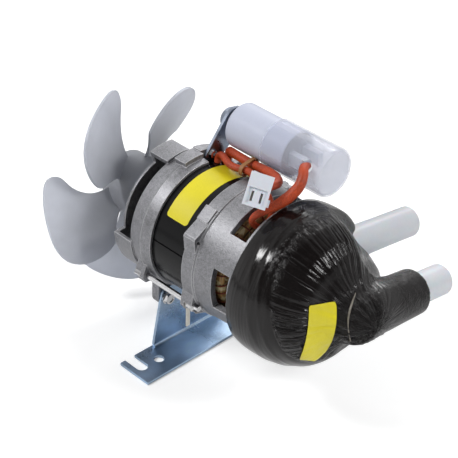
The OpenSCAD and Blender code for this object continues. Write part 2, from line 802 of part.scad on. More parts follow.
module casing_screws() {
    color([0.75, 0.75, 0.75]) for (k = [0:casing_screw_count - 1])
        on_axis(casing_x + flange_t) rotate(k * 60 + casing_screw_turn) translate([casing_screw_r, 0]) difference() {
            union() {
                translate([0, 0, -flange_t - gasket_t - plate_t + 0.3]) cylinder(r = bolt_r, h = flange_t + gasket_t + plate_t);
                cylinder(r1 = pan_r, r2 = pan_r - 0.8, h = pan_t);
            }
            translate([0, 0, pan_t - 1.4]) cylinder(r = 1.4, h = 3, $fn = 6);
        }
}

module inlet_elbow() {
    color([0.9, 0.9, 0.92]) difference() {
        union() {
            on_axis(elbow_x0) cylinder(r = elbow_r, h = inlet_x - elbow_x0 - knee);
            translate([inlet_x, 0, axis_h]) sphere(r = elbow_r + knee_swell);
            at_spigot(inlet_x, 0) translate([0, 0, knee]) cylinder(r1 = elbow_r, r2 = spigot_r + spigot_swell, h = root_len);
            at_spigot(inlet_x, 0) spigot_skin(knee + root_len, inlet_reach);
        }
        on_axis(elbow_x0 - cut) cylinder(r = neck_r + 0.05, h = neck_x1 - elbow_x0 + cut);
        on_axis(neck_x1 - 1) cylinder(r = spigot_bore_r, h = inlet_x - neck_x1 + 1 - knee);
        translate([inlet_x, 0, axis_h]) sphere(r = spigot_bore_r + knee_swell + 0.3);
        at_spigot(inlet_x, 0) translate([0, 0, knee]) cylinder(r = spigot_bore_r - throat_step, h = inlet_reach);
        at_spigot(inlet_x, 0) translate([0, 0, inlet_reach - bore_len]) cylinder(r = spigot_bore_r, h = bore_len + cut);
    }
}

module inlet_oring() {
    color([0.1, 0.1, 0.1]) on_axis(neck_x1 - 5) rotate_extrude() difference() {
        translate([neck_r, 0]) circle(r = 1, $fn = 32);
        translate([neck_r, -2]) square(4);
    }
}

module seal_cup() {
    color([0.1, 0.1, 0.1]) difference() {
        tube(cup_r, seat_r + slip, pump_x + 1, pump_x + plate_t + 1.3);
        on_axis(pump_x + 1) cylinder(r = 1, h = 1);
    }
    color([0.1, 0.1, 0.1]) tube(cup_r - 0.5, 7.5, pump_x + 1, pump_x + 1.8);
}

module seal_seat() {
    color([0.95, 0.94, 0.9]) tube(seat_r, shaft_r + 1.2, pump_x + 1.8, seal_face_x);
}

module seal_face() {
    color([0.15, 0.15, 0.16]) tube(8.5, shaft_r + 0.5, seal_face_x + slip, seal_face_x + 2.2);
}

module seal_bellows() {
    color([0.1, 0.1, 0.1]) turned([
        [shaft_r + slip, seal_face_x + 2.2], [8, seal_face_x + 2.2], [8, seal_face_x + 3.4],
        [5.6, seal_face_x + 3.8], [5.6, seal_face_x + 6.6], [shaft_r + slip, seal_face_x + 6.6]
    ]);
}

impeller_x = 84;
impeller_plate_t = 2.2;
vane_h = 9;
vane_t = 1.8;
vane_arc_r = 20;
insert_r = 6;

spring_pitch_r = 7;
spring_wire_r = 0.5;
spring_turns = 2.2;
spring_steps = 36;
spring_x0 = seal_face_x + 3.4 + spring_wire_r + 0.05;
spring_x1 = impeller_x - spring_wire_r - 0.05;

module seal_spring() {
    path = [for (i = [0:spring_steps]) let (t = i / spring_steps)
        [spring_x0 + (spring_x1 - spring_x0) * t, spring_pitch_r * cos(360 * spring_turns * t),
         axis_h + spring_pitch_r * sin(360 * spring_turns * t)]];
    color([0.8, 0.8, 0.8]) swept(path, spring_wire_r, 8, [1, 0, 0]);
}

module vane() {
    intersection() {
        translate([vane_arc_r * 0.86, -vane_arc_r * 0.95]) difference() {
            circle(r = vane_arc_r + vane_t / 2);
            circle(r = vane_arc_r - vane_t / 2);
        }
        difference() {
            circle(r = impeller_r - 0.6);
            circle(r = 8.5);
        }
        translate([0, -6]) square([40, 40]);
    }
}

module impeller() {
    color([0.35, 0.35, 0.38]) difference() {
        union() {
            on_axis(impeller_x) cylinder(r = impeller_r, h = impeller_plate_t);
            on_axis(impeller_x) cylinder(r = 9, h = impeller_plate_t + vane_h);
            on_axis(impeller_x + impeller_plate_t) linear_extrude(height = vane_h)
                for (k = [0:vane_count - 1]) rotate(k * 360 / vane_count) vane();
        }
        on_axis(impeller_x - cut) cylinder(r = insert_r + slip, h = 30);
    }
}

module impeller_insert() {
    color([0.8, 0.65, 0.3]) tube(insert_r, shaft_r + slip, impeller_x, impeller_x + impeller_plate_t + vane_h);
}

/* Insulation */

jacket_x0 = 70.7;
jacket_front_x = 122;
sleeve_x0 = 118;
jacket_in_r = flange_r + soft_gap;

module insulation_jacket() {
    color([0.07, 0.07, 0.08]) difference() {
        turned([
            [plate_r + soft_gap, jacket_x0], [jacket_r - 1.1, jacket_x0], [jacket_r - 0.2, 76], [jacket_r, 82],
            [jacket_r - 0.5, 91], [jacket_r - 3, 101], [jacket_r - 8, 111], [jacket_r - 15.5, 118.5],
            [jacket_r - 25, jacket_front_x - 0.6], [sleeve_root_r, jacket_front_x], [elbow_r + soft_gap, jacket_front_x],
            [elbow_r + soft_gap, casing_x1 + soft_gap], [chamber_r + casing_wall + soft_gap, casing_x1 + soft_gap],
            [chamber_r + casing_wall + soft_gap, casing_x + flange_t + pan_t + soft_gap],
            [jacket_in_r, casing_x + flange_t + pan_t + soft_gap], [jacket_in_r, casing_x + 0.2],
            [plate_r + soft_gap, casing_x + 0.2]
        ]);
        at_spigot(outlet_x, outlet_rise) cylinder(r = spigot_r + spigot_swell + soft_gap, h = outlet_reach);
        sleeve_skin(soft_gap);
    }
}

// Outer skin of the sleeve, grown by the given amount
module sleeve_skin(grow) {
    on_axis(sleeve_x0 - grow) cylinder(r = sleeve_root_r + grow, h = inlet_x - knee - sleeve_x0 + grow);
    dome = sleeve_root_r + grow;
    at_spigot(inlet_x, 0) rotate_extrude() polygon(concat(
        [for (a = [-90:9:0]) [dome * cos(a), dome * sin(a)]],
        [[sleeve_tip_r + grow, sleeve_reach], [0, sleeve_reach]]
    ));
}

module inlet_sleeve() {
    color([0.07, 0.07, 0.08]) difference() {
        sleeve_skin(0);
        on_axis(casing_x1) cylinder(r = elbow_r + soft_gap, h = inlet_x - casing_x1 - knee);
        translate([inlet_x, 0, axis_h]) sphere(r = elbow_r + knee_swell + soft_gap);
        at_spigot(inlet_x, 0) translate([0, 0, knee])
            cylinder(r1 = elbow_r + soft_gap, r2 = spigot_r + spigot_swell + soft_gap, h = root_len);
        at_spigot(inlet_x, 0) translate([0, 0, knee + root_len - 1])
            cylinder(r = spigot_r + spigot_swell + soft_gap, h = sleeve_reach);
    }
}

/* Capacitor */

can_x0 = -2;
can_x1 = can_x0 + can_len;
cap_x0 = 30;
cap_x1 = cap_x0 + cap_len;
arm_x = -9.1;
arm_screw_y = 13;
arm_screw_z = 44.5;
arm_screw_r = 1.8;
stud_r = 4;
stud_washer_t = 1.2;
stud_nut_t = 5;
stud_nut_flats = 13;
arm_end_r = 9.5;
cap_hole_x = 67.4;
cap_hole_angle = 155;
cap_hole_tilt = 65;
boss_r = 8;

module on_can(x) {
    translate([x, can_side, axis_h + can_rise]) rotate([90, 0, 90]) children();
}

module capacitor_arm() {
    color([0.7, 0.7, 0.72]) translate([arm_x, 0, axis_h]) rotate([90, 0, 90]) linear_extrude(height = arm_t) difference() {
        hull() {
            translate([can_side, can_rise]) circle(r = arm_end_r, $fn = 32);
            translate([8.5, 44]) circle(r = 1.2, $fn = 32);
            translate([20.5, 40.7]) circle(r = 1.2, $fn = 32);
        }
        translate([can_side, can_rise]) circle(r = stud_r + 0.2);
        translate([arm_screw_y, arm_screw_z]) circle(r = arm_screw_r + 0.2);
    }
}

module arm_screw() {
    color([0.8, 0.8, 0.8]) translate([arm_x + arm_t, arm_screw_y, axis_h + arm_screw_z]) rotate([90, 0, 90]) difference() {
        union() {
            translate([0, 0, -8]) cylinder(r = arm_screw_r, h = 8);
            cylinder(r1 = 3.2, r2 = 2.6, h = 1.8);
        }
        translate([0, 0, 0.8]) cylinder(r = 1.2, h = 2, $fn = 6);
    }
}

module capacitor_can() {
    shoulder = 2.5;
    wall = 1;
    disc_depth = 2;
    color([0.85, 0.87, 0.93]) on_can(0) difference() {
        rotate_extrude() polygon(concat(
            [[0, arm_x + arm_t + stud_washer_t], [boss_r, arm_x + arm_t + stud_washer_t], [boss_r, can_x0]],
            [for (a = [-90:15:0]) [can_r - shoulder + shoulder * cos(a), can_x0 + shoulder + shoulder * sin(a)]],
            [[can_r, can_x1], [can_r - wall, can_x1], [can_r - wall, can_x1 - disc_depth], [0, can_x1 - disc_depth]]
        ));
        translate([0, 0, arm_x]) cylinder(r = stud_r + slip, h = can_x0 - arm_x + 6);
    }
}

module capacitor_stud() {
    color([0.75, 0.75, 0.76]) on_can(arm_x - stud_nut_t - 2) cylinder(r = stud_r, h = stud_nut_t + 2 + can_x0 - arm_x + 6);
}

module capacitor_washer() {
    color([0.7, 0.7, 0.72]) on_can(arm_x + arm_t) difference() {
        cylinder(r = 7, h = stud_washer_t);
        translate([0, 0, -cut]) cylinder(r = stud_r + 0.2, h = 5);
    }
}

module capacitor_nut() {
    color([0.75, 0.75, 0.76]) on_can(arm_x - stud_nut_t) difference() {
        intersection() {
            linear_extrude(height = stud_nut_t) hexagon(stud_nut_flats);
            cylinder(r1 = stud_nut_flats / 2, r2 = stud_nut_flats / 2 + 4, h = stud_nut_t);
        }
        translate([0, 0, -cut]) cylinder(r = stud_r + slip, h = stud_nut_t + 2 * cut);
    }
}

module capacitor_disc() {
    color([0.15, 0.15, 0.17]) on_can(can_x1 - 2) cylinder(r = can_r - 1 - slip, h = 2);
}

terminal_gap = 12;
terminal_len = 8;

module at_terminals() {
    on_can(can_x1) for (s = [-1, 1]) translate([s * terminal_gap / 2, 0, 0]) children();
}

module capacitor_terminals() {
    color([0.8, 0.8, 0.8]) at_terminals() translate([-0.4, -3.15, 0]) cube([0.8, 6.3, terminal_len]);
}

module terminal_boots() {
    color([0.95, 0.95, 0.95]) at_terminals() difference() {
        translate([-2.2, -4.2, 0.5]) cube([4.4, 8.4, 13]);
        translate([-0.5, -3.3, -1]) cube([1, 6.6, terminal_len + 1.2]);
    }
}

module capacitor_cap() {
    round_r = 3;
    r_out = can_r + cap_wall + 0.05;
    color([0.9, 0.93, 0.96, 0.5]) on_can(0) difference() {
        rotate_extrude() polygon(concat(
            [[can_r + 0.05, cap_x0], [r_out, cap_x0]],
            [for (a = [0:15:90]) [r_out - round_r + round_r * cos(a), cap_x1 - round_r + round_r * sin(a)]],
            [[0, cap_x1], [0, cap_x1 - cap_wall]],
            [for (a = [90:-15:0]) [r_out - round_r + (round_r - cap_wall) * cos(a),
                                   cap_x1 - round_r + (round_r - cap_wall) * sin(a)]]
        ));
        translate([0, 0, cap_hole_x]) rotate(cap_hole_angle) translate([can_r + 0.5, 0, 0]) rotate([0, cap_hole_tilt, 0])
            translate([0, 0, -5]) cylinder(d = cap_lead_d + 1, h = 11);
    }
}

/* Leads */

// A round tube swept along a list of points
function unit(v) = v / norm(v);
function heading(p, i) = unit(p[min(i + 1, len(p) - 1)] - p[max(i - 1, 0)]);
function swept_ring(p, i, r, sides, ref) =
    let (t = heading(p, i), u = unit(cross(t, ref)), v = cross(t, u))
    [for (k = [0:sides - 1]) p[i] + r * (cos(360 * k / sides) * u + sin(360 * k / sides) * v)];

module swept(p, r, sides, ref) {
    n = len(p);
    polyhedron(
        points = [for (i = [0:n - 1]) each swept_ring(p, i, r, sides, ref)],
        faces = concat(
            [[for (k = [0:sides - 1]) k]],
            [[for (k = [sides - 1:-1:0]) (n - 1) * sides + k]],
            [for (i = [0:n - 2]) for (k = [0:sides - 1])
                [i * sides + k, (i + 1) * sides + k, (i + 1) * sides + (k + 1) % sides, i * sides + (k + 1) % sides]]
        )
    );
}

// Routes of the leads, measured from the drive axis
// From the capacitor cap into the front window
capacitor_route = [
    [66, 21.5, 65.5], [67.5, 18.5, 67], [69, 15, 68.5], [71.5, 11.5, 69.5], [74.5, 8, 68], [76, 4.5, 64.5],
    [75, 0.5, 60], [72.5, -4.5, 55.5], [69, -8.5, 51.5], [65.5, -12.5, 48.5], [62, -15.5, 45.5], [59.5, -17, 42],
    [58.5, -16.5, 38.5], [59, -14.5, 35.5], [59.5, -12, 33.5]
];

// The short lead that bridges the two shields
bridge_route = [
    [-2.2, 13.1, 40.3], [-2.2, 14, 44], [1.5, 13, 47], [7, 10.5, 48], [14, 7.8, 48], [20, 8, 48.2], [26, 9.6, 48.8],
    [34, 8.5, 49.2], [43, 5, 49], [52, 1.5, 48], [58, -1, 45], [60.5, -2, 39], [60, -2, 35], [57.8, -2, 32]
];

// The supply lead, from the rear shield to the connector
supply_route = [
    [-3, 21.2, 36.8], [-3, 23, 40], [-2, 23, 43.5], [3, 19.5, 47.5], [11, 16.8, 49.6], [20, 16.4, 49.8],
    [28, 16.2, 50.2], [35, 14.5, 52], [41, 12.5, 54], [48, 11, 55], [54.5, 8, 56], [58.5, 3.5, 57],
    [59, -2.5, 58], [59, -7.5, 59], [58.7, -11.7, 60.8], [60.8, -14.1, 62.8]
];

module capacitor_lead() {
    color([0.85, 0.25, 0.1]) translate([0, 0, axis_h]) swept(capacitor_route, cap_lead_d / 2, 10, [1, 0.3, 0]);
}

module bridge_lead() {
    color([0.85, 0.25, 0.1]) translate([0, 0, axis_h]) swept(bridge_route, supply_lead_d / 2, 10, [0.1, 1, 0.2]);
}

module supply_lead() {
    color([0.85, 0.25, 0.1]) translate([0, 0, axis_h]) swept(supply_route, supply_lead_d / 2, 10, [-5, -7, 5]);
}

tie_x = 24;
tie_w = 2.5;
tie_t = 0.8;
tie_a = [16.3, 50];
tie_b = [9.4, 48.8];

module cable_tie() {
    r = supply_lead_d / 2 + 0.4;
    color([0.6, 0.4, 0.2]) translate([tie_x, 0, axis_h]) rotate([90, 0, 90]) linear_extrude(height = tie_w) difference() {
        hull() {
            translate(tie_a) circle(r = r + tie_t, $fn = 32);
            translate(tie_b) circle(r = r + tie_t, $fn = 32);
        }
        hull() {
            translate(tie_a) circle(r = r, $fn = 32);
            translate(tie_b) circle(r = r, $fn = 32);
        }
    }
}

conn_w = 14;
conn_h = 20;
conn_d = 8;
conn_turn = [-34, 13, 36];
conn_corner = [61.5, -29, 58.5];
conn_wall = 1.5;
conn_slots = [3.6, 9];
conn_slot_w = 1.4;
conn_recess_h = 9.5;
conn_entry_z = 12;

// Places a drawing in the frame of the connector, with its mating face towards -Y
module on_connector() {
    translate([0, 0, axis_h]) translate(conn_corner) rotate(conn_turn) children();
}

module connector_housing() {
    color([0.93, 0.93, 0.93]) on_connector() difference() {
        union() {
            cube([conn_w, conn_d, conn_h]);
            translate([conn_w, 2, 2]) cube([1.4, 4, 4.5]);
        }
        translate([conn_wall, -cut, conn_wall]) cube([conn_w - 2 * conn_wall, 1.2 + cut, conn_recess_h]);
        for (x = conn_slots) translate([x, -cut, 3]) cube([conn_slot_w, conn_d - 0.5, 6]);
        translate([conn_w / 2, conn_d - 2, conn_entry_z]) rotate([-90, 0, 0]) cylinder(d = supply_lead_d + 0.6, h = 4);
    }
}

module connector_contacts() {
    color([0.8, 0.7, 0.4]) on_connector() for (x = conn_slots)
        translate([x + 0.3, 2.6, 3.3]) cube([conn_slot_w - 0.6, conn_d - 4.1, 5.4]);
}

mounting_bracket();
bracket_bolts();
bracket_washers();
rear_shield();
front_shield();
stator_core();
windings();
tie_rods();
tie_rod_nuts();
tie_rod_washers();
earth_tab();
rotor_shaft();
rotor_core();
rear_bearing_outer();
rear_bearing_inner();
rear_bearing_balls();
front_bearing_outer();
front_bearing_inner();
front_bearing_balls();
wave_washer();
fan();
fan_clip();
pump_back_plate();
back_plate_screws();
chamber_gasket();
pump_casing();
casing_screws();
inlet_elbow();
inlet_oring();
seal_cup();
seal_seat();
seal_face();
seal_bellows();
seal_spring();
impeller();
impeller_insert();
insulation_jacket();
inlet_sleeve();
capacitor_arm();
arm_screw();
capacitor_can();
capacitor_stud();
capacitor_nut();
capacitor_washer();
capacitor_disc();
capacitor_terminals();
terminal_boots();
capacitor_cap();
capacitor_lead();
bridge_lead();
supply_lead();
cable_tie();
connector_housing();
connector_contacts();
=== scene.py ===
"""Circulation pump with a cooling fan, a run capacitor and an insulated pump head."""
import math

import bpy
from mathutils import Matrix, Vector, noise


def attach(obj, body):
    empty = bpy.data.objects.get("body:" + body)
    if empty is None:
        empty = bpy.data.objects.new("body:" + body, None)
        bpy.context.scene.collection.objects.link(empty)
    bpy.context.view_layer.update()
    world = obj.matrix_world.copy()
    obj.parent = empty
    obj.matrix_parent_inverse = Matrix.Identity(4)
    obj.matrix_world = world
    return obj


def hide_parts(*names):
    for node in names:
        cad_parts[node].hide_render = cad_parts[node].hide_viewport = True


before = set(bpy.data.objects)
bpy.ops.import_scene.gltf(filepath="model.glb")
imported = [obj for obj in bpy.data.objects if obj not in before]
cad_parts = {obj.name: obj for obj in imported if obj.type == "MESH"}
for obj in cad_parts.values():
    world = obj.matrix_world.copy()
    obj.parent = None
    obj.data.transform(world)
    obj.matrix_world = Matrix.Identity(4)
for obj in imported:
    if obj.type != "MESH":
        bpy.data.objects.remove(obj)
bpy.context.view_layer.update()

bl_info = {
    "name": "Circulation pump",
    "version": (1, 0, 0),
    "blender": (4, 5, 0),
    "location": "View3D > Sidebar > Pump",
    "description": "Dresses the circulation pump: film, sleeving, labels, windings and finishes",
    "category": "Object",
}

# Places in the part's frame, in metres
AXIS_H = 0.09
SLEEVE_DROP = math.radians(8.5)
INLET_X = 0.129
CASING_FRONT = 0.1020
# A place on the film near the outlet where its grazing sheen is painted in as a light grey patch
PAINTED_SHEEN_PLACE = (0.1030, 0.0450, 0.0930)
SAME_POINT = 1e-6

# The rear tape band of the film ends on a plane that leans back at the top and at the outlet side
BAND_END = 0.1039
BAND_LEAN_UP = 0.0124
BAND_LEAN_OUT = 0.0019

# The front end of the windings: where it starts, its length, its two radii and its corner
WINDING_HEAD = (0.0422, 0.013, 0.025, 0.037, 0.0035)

# The camera that gives the picture's framing
PICTURE_SIDE = 458
SENSOR_WIDTH = 36
CAMERA_PLACE = (0.560018, -0.535128, 0.609915)
CAMERA_RIGHT = (0.694005, 0.719578, 0.023778)
CAMERA_DOWN = (0.416431, -0.374252, -0.828565)
CAMERA_AHEAD = (-0.587318, 0.584930, -0.559387)
CAMERA_FOCAL = 1469.1

# Name, place, aim, size and power of each lamp
LAMPS = [
    ("key", (-0.35, -0.70, 0.95), (0.02, 0, 0.09), 0.24, 6.5),
    ("side", (0.90, 0.25, 0.80), (0.05, 0, 0.09), 0.24, 4.5),
    ("back", (-0.35, 0.80, 0.80), (0, 0, 0.09), 0.40, 4.0),
]
SOFT_LIGHT = 0.35
DARK_FRONT = 0.86

# Points of the picture: the seam ridge, drawn lighter as a painted highlight along the film's fold, and the
# left and right edges of the label on the pump head
SEAM_IN_VIEW = [
    (350.5, 341.0), (348.8, 331.0), (348.4, 320.0), (350.0, 310.0), (352.8, 301.0), (355.5, 293.0),
]
SEAM_GIRTH = [0.6, 0.8, 1.0, 1.3, 1.1, 0.5]
LABEL_LEFT_IN_VIEW = [(308.1, 305.1), (308.6, 337.0), (298.8, 359.5)]
LABEL_RIGHT_IN_VIEW = [(336.2, 300.3), (342.0, 343.0), (315.0, 361.0)]

# The fillet between the dome and the elbow's sleeve, as places along the drive axis and radii
ROOT_FILLET = [
    (0.1190, 0.0300), (0.1218, 0.0268), (0.1240, 0.0232), (0.1262, 0.0200), (0.1290, 0.0176),
    (0.1290, 0.0140), (0.1190, 0.0140), (0.1190, 0.0300),
]

# Routes of the leads in millimetres, their heights measured from the drive axis
CAPACITOR_ROUTE = [
    (66, 21.5, 65.5), (67.5, 18.5, 67), (69, 15, 68.5), (71.5, 11.5, 69.5), (74.5, 8, 68), (76, 4.5, 64.5),
    (75, 0.5, 60), (72.5, -4.5, 55.5), (69, -8.5, 51.5), (65.5, -12.5, 48.5), (62, -15.5, 45.5),
    (59.5, -17, 42), (58.5, -16.5, 38.5), (59, -14.5, 35.5), (59.5, -12, 33.5),
]
CAPACITOR_GIRTH = [0.7, 0.82, 0.95, 1, 1.05, 1.12, 1.2, 1.2, 1.06, 0.92, 0.8, 0.72, 0.68, 0.66, 0.64]
BRIDGE_ROUTE = [
    (-2.2, 13.1, 40.3), (-2.2, 14, 44), (1.5, 13, 47), (7, 10.5, 48), (14, 7.8, 48), (20, 8, 48.2),
    (26, 9.6, 48.8), (34, 8.5, 49.2), (43, 5, 49), (52, 1.5, 48), (58, -1, 45), (60.5, -2, 39),
    (60, -2, 35), (57.8, -2, 32),
]
SUPPLY_ROUTE = [
    (-3, 21.2, 36.8), (-3, 23, 40), (-2, 23, 43.5), (3, 19.5, 47.5), (11, 16.8, 49.6), (20, 16.4, 49.8),
    (28, 16.2, 50.2), (35, 14.5, 52), (41, 12.5, 54), (48, 11, 55), (54.5, 8, 56), (58.5, 3.5, 57),
    (59, -2.5, 58), (59, -7.5, 59), (58.7, -11.7, 60.8), (60.8, -14.1, 62.8),
]


class PumpSizes(bpy.types.PropertyGroup):
    film_fold: bpy.props.FloatProperty(
        name="Film fold", description="Height of the folds in the black film", default=0.0007,
        unit="LENGTH")
    film_voxel: bpy.props.FloatProperty(
        name="Film grain", description="Size of the mesh cells of the film", default=0.0009,
        unit="LENGTH")
    outlet_dip: bpy.props.FloatProperty(
        name="Outlet dip", description="How far the film is drawn in before the outlet spigot",
        default=0.0085, unit="LENGTH")
    capacitor_lead: bpy.props.FloatProperty(
        name="Capacitor lead", description="Diameter of the sleeving on the capacitor lead",
        default=0.0058, unit="LENGTH")
    supply_lead: bpy.props.FloatProperty(
        name="Supply lead", description="Diameter of the sleeving on the supply lead", default=0.0058,
        unit="LENGTH")
    bridge_lead: bpy.props.FloatProperty(
        name="Bridge lead", description="Diameter of the sleeving on the lead between the shields",
        default=0.0046, unit="LENGTH")
    lacing_cord: bpy.props.FloatProperty(
        name="Lacing cord", description="Diameter of the cord round the windings", default=0.0009,
        unit="LENGTH")
    # The seam ridge is drawn lighter than the film, a painted highlight along its fold.
    seam_ridge: bpy.props.FloatProperty(
        name="Seam thread", description="Diameter of the seam thread on the film", default=0.001,
        unit="LENGTH")
    label_thickness: bpy.props.FloatProperty(
        name="Label thickness", description="Thickness of a bare label", default=0.00015, unit="LENGTH")


class PumpColours(bpy.types.PropertyGroup):
    casting: bpy.props.FloatVectorProperty(
        name="Casting", description="Colour of the cast shields", default=(0.27, 0.27, 0.285),
        subtype="COLOR")
    zinc: bpy.props.FloatVectorProperty(
        name="Zinc", description="Colour of the plated foot", default=(0.46, 0.60, 0.78), subtype="COLOR")
    film: bpy.props.FloatVectorProperty(
        name="Film", description="Colour of the black film", default=(0.0062, 0.0045, 0.0045),
        subtype="COLOR")
    fan: bpy.props.FloatVectorProperty(
        name="Fan", description="Colour of the translucent fan", default=(0.64, 0.66, 0.72),
        subtype="COLOR")
    sleeving: bpy.props.FloatVectorProperty(
        name="Sleeving", description="Colour of the woven sleeving", default=(0.43, 0.052, 0.010),
        subtype="COLOR")
    label: bpy.props.FloatVectorProperty(
        name="Label", description="Colour of the bare labels", default=(0.78, 0.68, 0.02),
        subtype="COLOR")
    spigot: bpy.props.FloatVectorProperty(
        name="Spigot", description="Colour of the milky spigots", default=(0.62, 0.65, 0.69),
        subtype="COLOR")


def deselect():
    for o in bpy.context.selected_objects:
        o.select_set(False)
    bpy.context.view_layer.objects.active = None


def pick(o):
    deselect()
    o.select_set(True)
    bpy.context.view_layer.objects.active = o


def settle(o, name):
    """Names a finished piece and puts its place in its mesh."""
    o.name = name
    o.data.name = name
    pick(o)
    bpy.ops.object.transform_apply(location=True, rotation=True, scale=True)
    return o


def smooth(o, angle=35):
    pick(o)
    bpy.ops.object.shade_smooth_by_angle(angle=math.radians(angle))


def apply_modifier(o, kind, name, **values):
    m = o.modifiers.new(name, kind)
    for k, v in values.items():
        setattr(m, k, v)
    pick(o)
    bpy.ops.object.modifier_apply(modifier=m.name)


def mend(o, merge=False, turn_out=False):
    """Merges doubled points, and turns all faces outwards."""
    pick(o)
    bpy.ops.object.mode_set(mode="EDIT")
    bpy.ops.mesh.select_all(action="SELECT")
    if merge:
        bpy.ops.mesh.remove_doubles(threshold=SAME_POINT)
    if turn_out:
        bpy.ops.mesh.normals_make_consistent(inside=False)
    bpy.ops.object.mode_set(mode="OBJECT")


def lathe(stations, segments):
    """Grows a shell along X from an open ring, station by station."""
    x0, r0 = stations[0]
    deselect()
    bpy.ops.mesh.primitive_circle_add(
        vertices=segments, radius=r0, location=(x0, 0, AXIS_H), rotation=(0, math.pi / 2, 0))
    o = bpy.context.object
    bpy.ops.object.transform_apply(location=True, rotation=True, scale=True)
    bpy.ops.object.mode_set(mode="EDIT")
    bpy.ops.mesh.select_all(action="SELECT")
    for (xa, ra), (xb, rb) in zip(stations, stations[1:]):
        bpy.ops.mesh.extrude_region_move(TRANSFORM_OT_translate={"value": (xb - xa, 0, 0)})
        k = rb / ra
        bpy.ops.transform.resize(value=(1, k, k), center_override=(xb, 0, AXIS_H))
    bpy.ops.object.mode_set(mode="OBJECT")
    return o


def tube_along(points, diameter, name, girths=None):
    """A sleeve on a smooth line through the route points, with its UV running along it."""
    curve = bpy.data.curves.new(name, "CURVE")
    curve.dimensions = "3D"
    curve.resolution_u = 8
    curve.bevel_depth = diameter / 2
    curve.bevel_resolution = 5
    curve.use_fill_caps = True
    line = curve.splines.new("BEZIER")
    line.bezier_points.add(len(points) - 1)
    for i, (p, q) in enumerate(zip(line.bezier_points, points)):
        p.co = q
        p.handle_left_type = "AUTO"
        p.handle_right_type = "AUTO"
        if girths:
            p.radius = girths[i]
    o = bpy.data.objects.new(name, curve)
    bpy.context.scene.collection.objects.link(o)
    pick(o)
    bpy.ops.object.convert(target="MESH")
    o = bpy.context.object
    o.name = name
    smooth(o, 50)
    return o


def metres(route):
    """Route points in metres; their heights are measured from the drive axis."""
    return [Vector((x, y, z)) / 1000 + Vector((0, 0, AXIS_H)) for x, y, z in route]


def sight(u, v):
    """The line of sight through a point of the picture."""
    right, down = u - PICTURE_SIDE / 2, v - PICTURE_SIDE / 2
    line = (Vector(CAMERA_AHEAD) + Vector(CAMERA_RIGHT) * (right / CAMERA_FOCAL)
            + Vector(CAMERA_DOWN) * (down / CAMERA_FOCAL))
    return line.normalized()


def seen_on(o, u, v):
    """The point of a piece that shows at a point of the picture, and the outward direction there."""
    hit, place, normal, face = o.ray_cast(Vector(CAMERA_PLACE), sight(u, v))
    if not hit:
        raise RuntimeError("nothing of %s shows at %.1f, %.1f" % (o.name, u, v))
    return place, normal


def node_copy(name):
    """A merged copy of a carried-over piece's mesh."""
    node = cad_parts[name]
    o = bpy.data.objects.new(name + "_copy", node.data.copy())
    o.matrix_world = node.matrix_world.copy()
    bpy.context.scene.collection.objects.link(o)
    mend(o, merge=True)
    return o


def ramp(x, low, high):
    """Rises smoothly from 0 at low to 1 at high."""
    t = min(max((x - low) / (high - low), 0.0), 1.0)
    return t * t * (3 - 2 * t)


def bell(x, middle, width):
    """Is 1 at the middle and fades on both sides."""
    return math.exp(-((x - middle) / width) ** 2)


def band_edge(ring):
    """Where the rear tape band ends, for a direction square to the drive axis."""
    return BAND_END - BAND_LEAN_OUT * ring.y - BAND_LEAN_UP * ring.z


def run(points):
    """The length of a line of points."""
    return sum((b - a).length for a, b in zip(points, points[1:]))


# Parts of a material

def new_material(name):
    material = bpy.data.materials.new(name)
    material.use_nodes = True
    return material, material.node_tree, material.node_tree.nodes["Principled BSDF"]


def maths(tree, op, *values):
    n = tree.nodes.new("ShaderNodeMath")
    n.operation = op
    for socket, value in zip(n.inputs, values):
        if isinstance(value, (int, float)):
            socket.default_value = value
        else:
            tree.links.new(value, socket)
    return n.outputs[0]


def vector_maths(tree, op, *values):
    n = tree.nodes.new("ShaderNodeVectorMath")
    n.operation = op
    for socket, value in zip(n.inputs, values):
        if isinstance(value, tuple):
            socket.default_value = value
        else:
            tree.links.new(value, socket)
    return n.outputs["Value" if op in ("DISTANCE", "DOT_PRODUCT", "LENGTH") else "Vector"]


def scaled(tree, colour, factor):
    """A colour, made lighter or darker by a varying factor."""
    n = tree.nodes.new("ShaderNodeVectorMath")
    n.operation = "SCALE"
    if isinstance(colour, tuple):
        n.inputs[0].default_value = colour
    else:
        tree.links.new(colour, n.inputs[0])
    tree.links.new(factor, n.inputs["Scale"])
    return n.outputs[0]


def blend(tree, factor, a, b):
    """Goes from one colour to another as the factor rises."""
    n = tree.nodes.new("ShaderNodeMix")
    n.data_type = "RGBA"
    for key, value in (("Factor", factor), ("A", a), ("B", b)):
        if isinstance(value, tuple):
            n.inputs[key].default_value = value
        else:
            tree.links.new(value, n.inputs[key])
    return n.outputs["Result"]


def between(tree, value, low, high, to_low=0.0, to_high=1.0, kind="SMOOTHSTEP"):
    n = tree.nodes.new("ShaderNodeMapRange")
    n.interpolation_type = kind
    n.inputs["From Min"].default_value = low
    n.inputs["From Max"].default_value = high
    n.inputs["To Min"].default_value = to_low
    n.inputs["To Max"].default_value = to_high
    tree.links.new(value, n.inputs["Value"])
    return n.outputs[0]


def cloud(tree, vector, scale, detail=2.0, distortion=0.0):
    n = tree.nodes.new("ShaderNodeTexNoise")
    n.inputs["Scale"].default_value = scale
    n.inputs["Detail"].default_value = detail
    n.inputs["Distortion"].default_value = distortion
    tree.links.new(vector, n.inputs["Vector"])
    return n.outputs["Fac"]


def creases(tree, noise_value):
    """Distance of a noise from its middle, so that its middle lines are sharp valleys."""
    return maths(tree, "ABSOLUTE", maths(tree, "SUBTRACT", noise_value, 0.5))


def relief(tree, height, strength, distance):
    """Fine relief that turns the normal of the material."""
    n = tree.nodes.new("ShaderNodeBump")
    n.inputs["Strength"].default_value = strength
    n.inputs["Distance"].default_value = distance
    tree.links.new(height, n.inputs["Height"])
    tree.links.new(n.outputs[0], tree.nodes["Principled BSDF"].inputs["Normal"])
    return n


